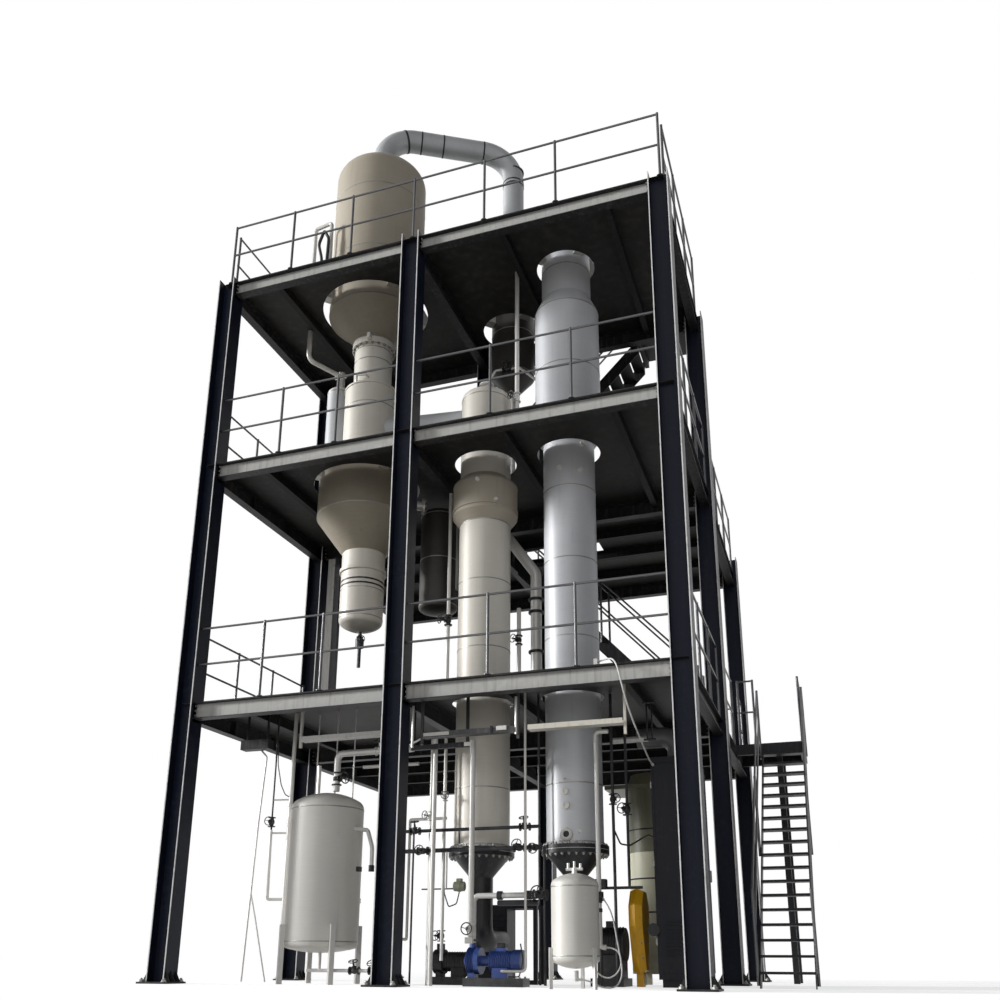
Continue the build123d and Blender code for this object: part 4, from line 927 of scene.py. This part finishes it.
def makeValves():
    hub = Matrix.Translation((valveLook["stem"] + 0.01, 0, 0)) @ Matrix.Rotation(pi / 2, 4, "Y")
    for group, rows in valveSpots.items():
        for place, along, spindle, scale in rows:
            along, spindle = Vector(along).normalized(), Vector(spindle).normalized()
            turn = Matrix((spindle, along.cross(spindle), along)).transposed().to_4x4()
            local = Matrix.Translation(plan(*place)) @ turn @ Matrix.Scale(scale, 4)
            put(group, copied(valve, local))
            put("wheels", copied(wheel, local @ hub))
    joinGroup("valves", "pipe_valves", "pipeSteel")
    joinGroup("darkValves", "dark_valves", "pumpDark")
    joinGroup("wheels", "valve_wheels", "pumpDark")


nozzleSpots = [
    # vessel, radius of its wall, angle, height, pipe radius, reach
    ("separator", 0.835, 150, 12.70, 0.060, 0.15), ("separator", 0.835, 60, 13.80, 0.070, 0.15),
    ("separator", 0.820, 30, 7.90, 0.080, 0.16), ("separator", 0.465, 100, 9.75, 0.050, 0.12),
    ("heater1", 0.410, 80, 6.60, 0.060, 0.14), ("heater1", 0.410, 100, 2.30, 0.060, 0.14),
    ("heater2", 0.410, 95, 3.10, 0.060, 0.14), ("heater2", 0.530, 110, 8.75, 0.060, 0.14),
    ("demister", 0.395, 60, 11.05, 0.050, 0.12), ("wash", 0.540, 70, 1.20, 0.045, 0.12),
    ("buffer", 0.240, 70, 10.30, 0.030, 0.10), ("buffer", 0.240, 110, 8.70, 0.030, 0.10),
    ("pot", 0.330, 80, 7.55, 0.040, 0.10), ("pot", 0.330, 100, 6.45, 0.040, 0.10),
]
# vessel, height, pipe radius, reach
topNozzles = [("heater1", 9.505, 0.07, 0.14), ("heater2", 12.245, 0.07, 0.12)]
# vessel, radius of its wall, angle, height, cover radius
manwaySpots = [("separator", 0.835, 100, 12.95, 0.26), ("wash", 0.540, 105, 1.55, 0.16)]
manwaySize = {"bolts": 16, "face": 0.172, "handle": 0.008, "handleY": (-0.06, 0.06), "handleOut": 0.05}


# A manway: a short collar and a bolted cover with a rim and two handles
def manway(start, direction, radius):
    size = manwaySize
    rim, cover, face = radius * 1.22, radius * 1.20, size["face"]
    part = turned([(radius, 0), (radius, 0.12), (rim, 0.12), (rim, 0.145), (cover, 0.150), (cover, face),
                   (radius * 0.9, 0.176), (radius * 0.5, 0.190)], 40)
    put("nozzles", placed(part, start, direction))
    coverBolts(start, direction, radius * 1.11, face, size["bolts"], 0, 0.9)
    turn = facing(direction).to_3x3()
    out = turn @ Vector((0, 0, size["handleOut"]))
    for x in (-radius * 0.45, radius * 0.45):
        left, right = (start + turn @ Vector((x, y, 0.185)) for y in size["handleY"])
        for end, other in ((left, left + out), (right, right + out), (left + out, right + out)):
            put("nozzles", bar(end, other, size["handle"], 8))


def makeNozzles():
    for key, wall, angle, z, radius in manwaySpots:
        manway(around(key, wall - 0.03, angle, z), outward(angle), radius)
    for key, wall, angle, z, radius, reach in nozzleSpots:
        nozzle(around(key, wall, angle, z), outward(angle), radius, reach)
    for key, z, radius, reach in topNozzles:
        nozzle(plan(*vessels[key], z), zAxis, radius, reach)
    joinGroup("nozzles", "vessel_nozzles", "pipeSteel")
    joinGroup("nozzleBolts", "nozzle_bolts", "boltSteel", 30)


# Small pipework: rods, conduits and stubs, each drawn along its own corners
def tube(group, corners, radius, bend=0.06):
    route = [plan(*corner) for corner in corners]
    points = [route[0]]
    for before, corner, after in zip(route, route[1:], route[2:]):
        points.append(corner + (before - corner).normalized() * min(bend, (before - corner).length * 0.45))
        points.append(corner)
        points.append(corner + (after - corner).normalized() * min(bend, (after - corner).length * 0.45))
    points.append(route[-1])
    line = drawnLine("tube_line", points, radius, lineFineness["rod"])
    deselect()
    line.select_set(True)
    bpy.context.view_layer.objects.active = line
    bpy.ops.object.convert(target="MESH")
    put(group, active())


def collar(group, at, direction, radius, width):
    part = turned([(radius - 0.003, -width / 2), (radius, -width / 2 + 0.003), (radius, width / 2 - 0.003),
                   (radius - 0.003, width / 2)], 20)
    put(group, placed(part, plan(*at), direction))


uprightRods = {
    # x, y, lower and upper end, radius
    "steelRods": [
        # stubs and rods on the wash tank's top, and hangers of the middle tray
        (1.91, 1.15, 2.68, 3.20, 0.030), (2.14, 1.25, 2.75, 4.06, 0.012), (2.50, 1.15, 2.64, 4.06, 0.012),
        (1.78, 1.3, 2.66, 4.06, 0.012), (3.78, 0.45, 3.22, 3.83, 0.019), (5.34, 0.42, 3.30, 3.83, 0.019),
        # drops from the service lines, stubs on the air receiver and the buffer tank's neck
        (3.87, 1.0, 0.02, 2.115, 0.014), (4.12, 1.0, 1.30, 1.83, 0.014), (6.17, 0.28, 1.38, 1.46, 0.034),
        (6.09, 0.28, 1.45, 1.53, 0.018), (6.17, 0.28, 1.45, 1.55, 0.016), (6.25, 0.28, 1.45, 1.52, 0.018),
        (1.16, 2.40, 10.72, 11.12, 0.070),
    ],
    "darkRods": [
        # the rod left of the wash tank, and pipes between the ground and the first deck
        (1.16, 1.1, 2.24, 4.06, 0.014), (6.42, 1.50, 0.02, 4.06, 0.022), (6.62, 1.50, 1.30, 4.06, 0.020),
        (6.20, 1.50, 0.02, 1.30, 0.018), (5.42, 1.22, 0.02, 4.06, 0.018), (3.60, 1.0, 0.02, 2.115, 0.016),
        (5.56, 1.00, 0.02, 1.83, 0.020), (4.30, 1.00, 1.83, 2.115, 0.012),
        # sides of the hanging bracket above the enclosure
        (6.98, 1.30, 3.30, 3.83, 0.012), (7.05, 1.30, 3.30, 3.83, 0.012),
    ],
}
bentRods = {
    # corners, radius, and the bend where it isn't the usual one
    "steelRods": [
        # conduit and rods left of the wash tank
        ([(0.95, 1.0, 3.47), (1.05, 1.0, 3.37), (0.99, 1.0, 2.39), (0.95, 1.0, 1.29),
          (0.90, 1.0, 0.02)], 0.014),
        ([(0.95, 1.0, 1.29), (1.06, 1.0, 0.92), (1.30, 1.0, 0.02)], 0.012),
        ([(1.16, 1.1, 2.24), (1.18, 1.1, 1.20), (1.44, 1.15, 1.20)], 0.022),
        ([(1.16, 1.1, 2.19), (1.44, 1.15, 2.19)], 0.014), ([(1.16, 1.1, 2.70), (1.44, 1.15, 2.70)], 0.012),
        # overflow and drain line of the wash tank, with the drain's manifold
        ([(2.60, 1.05, 2.20), (2.86, 1.0, 2.16), (2.97, 0.95, 1.90), (2.97, 0.95, 1.62)], 0.030),
        ([(2.10, 1.15, 0.47), (2.10, 1.15, 0.19), (2.10, 0.80, 0.19), (3.42, 0.80, 0.19)], 0.024),
        ([(3.40, 0.80, 0.19), (3.40, 0.80, 0.62), (3.40, 1.30, 0.62), (3.40, 1.30, 2.33),
          (3.47, 1.30, 2.33)], 0.022),
        ([(3.70, 0.45, 3.24), (3.96, 0.45, 3.36)], 0.014),
        # arch pipe beside the separator's dome, and the davit beside the crystalliser's crown
        ([(1.31, 0.90, 11.68), (1.31, 0.90, 13.18), (1.68, 0.82, 13.16), (1.70, 0.82, 11.68)], 0.035, 0.12),
        ([(2.12, 1.345, 10.02), (2.12, 1.25, 10.02), (2.12, 1.25, 10.16), (2.30, 1.25, 10.14),
          (2.30, 1.335, 10.14)], 0.022),
        # curved pipe in front of the demister
        ([(4.10, 2.50, 8.14), (4.10, 2.50, 10.30), (4.25, 2.50, 10.58), (4.72, 2.50, 10.54),
          (5.05, 2.50, 10.20), (5.05, 2.50, 8.14)], 0.024),
        # crossbar of the air receiver's stubs, and of the buffer tank's neck
        ([(6.06, 0.28, 1.45), (6.28, 0.28, 1.45)], 0.020),
        ([(1.04, 2.36, 11.02), (1.28, 2.36, 11.02)], 0.035),
    ],
    "darkRods": [
        ([(1.18, 1.1, 3.60), (1.20, 1.1, 3.25), (1.28, 1.1, 2.93), (1.36, 1.1, 2.78),
          (1.42, 1.13, 2.74)], 0.008),
        # pipe and cable behind the riser
        ([(6.20, 1.50, 1.30), (6.80, 1.50, 1.30)], 0.020),
        ([(6.42, 1.52, 2.10), (6.50, 1.55, 1.90), (6.62, 1.6, 1.88), (6.76, 1.72, 1.98), (6.86, 1.75, 2.04),
          (6.98, 1.76, 1.96)], 0.012),
        # line in front of the first heater with the level gauge
        ([(3.66, 1.20, 1.31), (4.16, 1.20, 1.31)], 0.010),
        ([(4.24, 1.20, 1.26), (4.20, 1.20, 1.10), (4.08, 1.20, 1.06), (4.01, 1.20, 1.25),
          (4.00, 1.18, 1.80)], 0.009),
        ([(4.88, 1.03, 1.09), (5.46, 1.03, 1.09)], 0.040),
        # top and foot of the hanging bracket
        ([(6.93, 1.30, 3.30), (7.10, 1.30, 3.30)], 0.016), ([(6.93, 1.30, 3.83), (7.10, 1.30, 3.83)], 0.016),
        # hose beside the separator's dome
        ([(1.56, 0.78, 11.68), (1.54, 0.78, 12.40), (1.46, 0.78, 12.72), (1.56, 0.78, 13.00),
          (1.66, 0.78, 12.80), (1.63, 0.78, 11.68)], 0.028, 0.15),
        # cable of the feed pump's motor
        ([(5.26, 0.86, 0.55), (5.31, 0.82, 0.34), (5.26, 0.80, 0.13), (5.11, 0.80, 0.13)], 0.009),
    ],
}
couplings = [
    # group, place, direction, radius, width
    *[("steelRods", (1.44, 1.15, z), zAxis, 0.044, 0.05) for z in (2.62, 2.36, 2.11)],
    *[("darkRods", (5.025, 2.42, z), zAxis, 0.128, 0.035) for z in (6.02, 5.80, 5.12)],
    *[("darkRods", (x, 1.0, 1.19), (1, 0, 0), 0.060, 0.07) for x in (4.92, 5.34)],
    *[("darkRods", (6.30, 1.05, z), zAxis, 0.040, 0.05) for z in (1.10, 0.98)],
    *[("darkRods", (2.22, 1.66, z), zAxis, 0.368, 0.030) for z in (6.35, 6.27)],
    ("darkRods", (2.97, 0.95, 1.60), zAxis, 0.042, 0.09),
    ("darkRods", (6.885, 1.735, 0.75), (0.2, -1, 0), 0.085, 0.05),
]
smallBoxes = {
    "darkPlates": [
        (0.66, 1.16, 0.84, 1.00, 3.47, 3.62), (0.72, 0.75, 0.90, 0.93, 3.62, 4.07),
        (1.08, 1.11, 0.90, 0.93, 3.62, 4.07), (3.61, 4.50, 0.78, 0.84, 3.26, 3.33),
        (3.62, 3.66, 0.79, 0.83, 3.33, 4.07), (4.46, 4.50, 0.79, 0.83, 3.33, 4.07),
        (4.98, 5.02, 0.36, 0.37, 3.32, 3.43), (6.04, 6.30, 1.44, 1.56, 1.30, 1.42),
        (2.74, 2.80, 0.91, 0.99, 1.56, 1.63), (6.25, 6.35, 1.005, 1.095, 1.10, 1.22),
    ],
    "palePlates": [
        (3.98, 4.37, 0.368, 0.374, 3.35, 3.40), (5.07, 5.22, 0.360, 0.374, 3.36, 3.42),
        (4.44, 4.56, 0.772, 0.779, 3.265, 3.325), (4.54, 4.65, 0.66, 0.71, 0.55, 0.63),
        (2.30, 2.36, 1.20, 1.28, 10.86, 10.96),
    ],
}


def makeSmallWorks():
    for group, rows in uprightRods.items():
        for x, y, low, high, radius in rows:
            tube(group, [(x, y, low), (x, y, high)], radius)
    for group, rows in bentRods.items():
        for row in rows:
            tube(group, *row)
    for row in couplings:
        collar(*row)
    for group, blocks in smallBoxes.items():
        for block in blocks:
            put(group, planBox(*block, 0.003))
    joinGroup("steelRods", "small_pipework", "pipeSteel")
    joinGroup("darkRods", "dark_pipework", "pumpDark")
    joinGroup("darkPlates", "pipe_supports", "stairPaint", 30)
    joinGroup("palePlates", "junction_boxes", "whitePaint", 30)


# Ducts: black seam bands, each a ring round the duct
ductWorks = {"radius": 0.203, "band": 0.030, "wideBand": 0.042, "runProud": 0.006, "proud": 0.007,
             "runZ": 15.74, "runSeams": (0.72, 1.15), "lastGap": 0.62, "bend": 0.61, "elbowTurn": 72,
             "dropSeams": (15.34, 15.06, 14.98), "riseSeams": (15.10, 14.98)}


def makeDuctSeams():
    size = ductWorks
    start = Vector(vessels["separator"])
    end = Vector(vessels["demister"])
    length = (end - start).length
    along = (end - start) / length
    proud = size["radius"] + size["proud"]
    for share in (*size["runSeams"], length - size["lastGap"]):
        at = (*(start + along * share), size["runZ"])
        collar("ductSeams", at, (*along, 0), size["radius"] + size["runProud"], size["band"])
    # a wider band part way up the first elbow
    lean = radians(size["elbowTurn"])
    at = (*(start + along * (size["bend"] * (1 - cos(lean)))), size["runZ"] - size["bend"] * (1 - sin(lean)))
    collar("ductSeams", at, (*(along * sin(lean)), cos(lean)), proud, size["wideBand"])
    for place, heights in ((end, size["dropSeams"]), (start, size["riseSeams"])):
        for z in heights:
            collar("ductSeams", (*place, z), zAxis, proud, size["band"])
    joinGroup("ductSeams", "duct_seams", "blackRubber")


# Bosses on the heaters and the separator, and the sight glass with its ring
bossSpots = [
    # vessel, wall radius, angle, height, boss radius, reach
    ("heater2", 0.410, -93, 2.62, 0.048, 0.030), ("heater2", 0.410, -92, 2.42, 0.055, 0.030),
    ("heater2", 0.410, -95, 2.80, 0.018, 0.030), ("heater2", 0.410, -66, 2.06, 0.030, 0.025),
    ("heater1", 0.520, -84, 7.62, 0.035, 0.035), ("heater1", 0.520, -52, 7.28, 0.030, 0.035),
    ("heater2", 0.410, -96, 7.70, 0.040, 0.030), ("heater2", 0.410, -45, 8.12, 0.045, 0.040),
    ("heater2", 0.410, -50, 7.66, 0.035, 0.040), ("separator", 0.835, -70, 12.10, 0.035, 0.040),
]
sightGlass = {"vessel": "heater2", "wall": 0.405, "angle": -91, "z": 2.02, "inner": 0.045, "outer": 0.090}


def makeBosses():
    for key, wall, angle, z, radius, reach in bossSpots:
        boss = turned([(radius, -0.02), (radius, reach - 0.004), (radius - 0.004, reach),
                       (radius * 0.5, reach), (radius * 0.45, reach - 0.006)], 24)
        put("bosses", placed(boss, around(key, wall, angle, z), outward(angle)))
    glass = sightGlass
    inner, outer = glass["inner"], glass["outer"]
    start = around(glass["vessel"], glass["wall"], glass["angle"], glass["z"])
    ring = turned([(inner, 0.0), (outer - 0.005, 0.0), (outer, 0.045), (outer - 0.015, 0.062),
                   (inner, 0.055)], 36, True)
    pane = turned([(inner + 0.001, 0.0), (inner + 0.001, 0.030), (0.020, 0.034)], 28)
    put("bosses", placed(ring, start, outward(glass["angle"])))
    put("sightGlass", placed(pane, start, outward(glass["angle"])))
    joinGroup("bosses", "heater_bosses", "whitePaint")
    joinGroup("sightGlass", "sight_glass", "blackRubber")


# Level gauge: a round housing on the thin line in front of the first heater, with a box on top
gauge = {"at": (4.24, 1.20, 1.34), "direction": (1, 0.15, 0), "box": (4.20, 4.28, 1.17, 1.23, 1.38, 1.45),
         "outline": [(0.050, -0.085), (0.066, -0.075), (0.070, -0.02), (0.078, -0.018), (0.078, 0.018),
                     (0.070, 0.020), (0.066, 0.075), (0.050, 0.085)]}


def makeGauge():
    put("gauge", placed(turned(gauge["outline"], 28), plan(*gauge["at"]), gauge["direction"]))
    put("gauge", planBox(*gauge["box"], 0.006))
    joinGroup("gauge", "level_gauge", "motorGreen")


# Pumps: cooling fins round the motors, flange rings, terminal boxes and the bolts of the base
pumpRings = [
    # group, number, first x, step, y, z, radius, width
    ("blueFins", 12, 4.810, 0.026, 1.0, 0.33, 0.146, 0.008),
    ("blueFins", 4, 5.125, 0.028, 1.0, 0.33, 0.151, 0.008),
    ("blueFins", 5, 4.490, 0.022, 1.0, 0.33, 0.181, 0.008),
    ("darkFins", 1, 4.455, 0, 1.0, 0.33, 0.062, 0.020),
    ("darkFins", 1, 4.80, 0, 1.0, 0.33, 0.050, 0.05),
    ("darkFins", 10, 3.85, 0.04, 1.75, 0.32, 0.140, 0.010),
    ("darkFins", 9, 6.06, 0.042, 2.05, 0.56, 0.244, 0.010),
]
pumpWorks = {"boxes": ((4.90, 5.02, 0.93, 1.07, 0.50, 0.56), (6.16, 6.30, 1.98, 2.12, 0.78, 0.88)),
             "outlet": (4.535, 1.0, 0.60), "boltX": (4.50, 5.24), "boltY": (0.88, 1.12), "boltZ": 0.11}


def makePumpDetails():
    works = pumpWorks
    for group, count, x, step, y, z, radius, width in pumpRings:
        for i in range(count):
            collar(group, (x + step * i, y, z), (1, 0, 0), radius, width)
    collar("darkFins", works["outlet"], zAxis, 0.062, 0.020)
    for box in works["boxes"]:
        put("darkFins", planBox(*box, 0.008))
    heads = [plan(x, y, works["boltZ"]) for x in works["boltX"] for y in works["boltY"]]
    bolts("pumpBolts", heads, zAxis, 0.8)
    joinGroup("blueFins", "pump_fins", "pumpBlue")
    joinGroup("darkFins", "motor_fittings", "pumpDark")
    joinGroup("pumpBolts", "pump_base_bolts", "boltSteel", 30)


# Compressor enclosure: doors with hinges, handles and louvres, and the control cabinet's louvres
enclosureWorks = {"x": (6.93, 7.53), "y": (1.75, 2.90), "z": (0.18, 3.05), "hingeZ": (0.55, 1.6, 2.7),
                  "handleZ": (1.45, 1.62), "slats": 9, "slatStep": 0.055, "slatHeight": 0.022,
                  "sideSlats": 2.30, "frontSlats": 0.40, "edge": 0.004}
cabinetSlats = {"x": (4.12, 4.49), "y": (2.402, 2.421), "z": 0.22, "slats": 11, "slatStep": 0.075,
                "slatHeight": 0.026}


def sidePlate(group, x, out, y0, y1, z0, z1, edge):
    low, high = sorted((x, x + out))
    put(group, planBox(low, high, y0, y1, z0, z1, edge))


def louvres(x0, x1, y0, y1, z, size):
    for i in range(size["slats"]):
        low = z + size["slatStep"] * i
        put("doors", planBox(x0, x1, y0, y1, low, low + size["slatHeight"], enclosureWorks["edge"]))


def makeEnclosureWorks():
    size = enclosureWorks
    edge = size["edge"]
    (x0, x1), (y0, y1), (z0, z1) = size["x"], size["y"], size["z"]
    mid = (y0 + y1) / 2
    for side, x in ((-1, x0), (1, x1)):
        for a, b in ((y0 + 0.03, mid - 0.01), (mid + 0.01, y1 - 0.03)):
            sidePlate("doors", x, side * 0.012, a, b, z0, z1, edge)
            for z in size["hingeZ"]:
                sidePlate("hinges", x, side * 0.03, a, a + 0.03, z, z + 0.10, edge)
            sidePlate("hinges", x, side * 0.04, b - 0.06, b - 0.035, *size["handleZ"], 0.005)
            louvres(*sorted((x, x + side * 0.026)), a + 0.10, b - 0.10, size["sideSlats"], size)
    put("doors", planBox(x0 + 0.03, x1 - 0.03, y0 - 0.012, y0, z0, z1, edge))
    louvres(x0 + 0.12, x1 - 0.12, y0 - 0.026, y0 - 0.010, size["frontSlats"], size)
    louvres(*cabinetSlats["x"], *cabinetSlats["y"], cabinetSlats["z"], cabinetSlats)
    joinGroup("doors", "enclosure_doors", "enclosureDark", 30)
    joinGroup("hinges", "door_hardware", "boltSteel", 30)


# Silencer bands, and the bolts along both edges of the belt guard
silencerBands = {"z": (1.05, 1.55, 2.30), "inner": 0.418, "outer": 0.427, "half": 0.012, "flat": 0.010}
# x and y of the guard's middle, and each pair's distance from it and height
guardBolts = {"x": 6.68, "y": 2.05,
              "pairs": ((0.21, 1.02), (0.26, 0.92), (0.25, 0.78), (0.19, 0.58), (0.13, 0.38))}


def makeSilencerBands():
    size = silencerBands
    inner, outer, half, flat = size["inner"], size["outer"], size["half"], size["flat"]
    for z in size["z"]:
        band = turned([(inner, z - half), (outer, z - flat), (outer, z + flat), (inner, z + half)], 64, True)
        put("bands", placed(band, plan(*vessels["silencer"], 0)))
    joinGroup("bands", "silencer_bands", "enclosureDark")


def makeGuardBolts():
    guard = guardBolts
    places = [plan(guard["x"], guard["y"] + side * reach, z) for side in (1, -1)
              for reach, z in guard["pairs"]]
    bolts("guardBolts", places, (1, 0, 0), 0.7)
    joinGroup("guardBolts", "guard_bolts", "boltSteel", 30)


print("modelling the frame works")
makeAnchors()
makeEndPlates()
makeStiffeners()
makePostFeet()
print("modelling vessel seams, flanges, manways and valves")
makeSeams()
makeFlangeBolts()
makeNozzles()
makeValves()
print("modelling the small works")
makeSmallWorks()
makeDuctSeams()
makeBosses()
makeGauge()
makePumpDetails()
makeEnclosureWorks()
makeSilencerBands()
makeGuardBolts()

dispose(nut, valve, wheel)
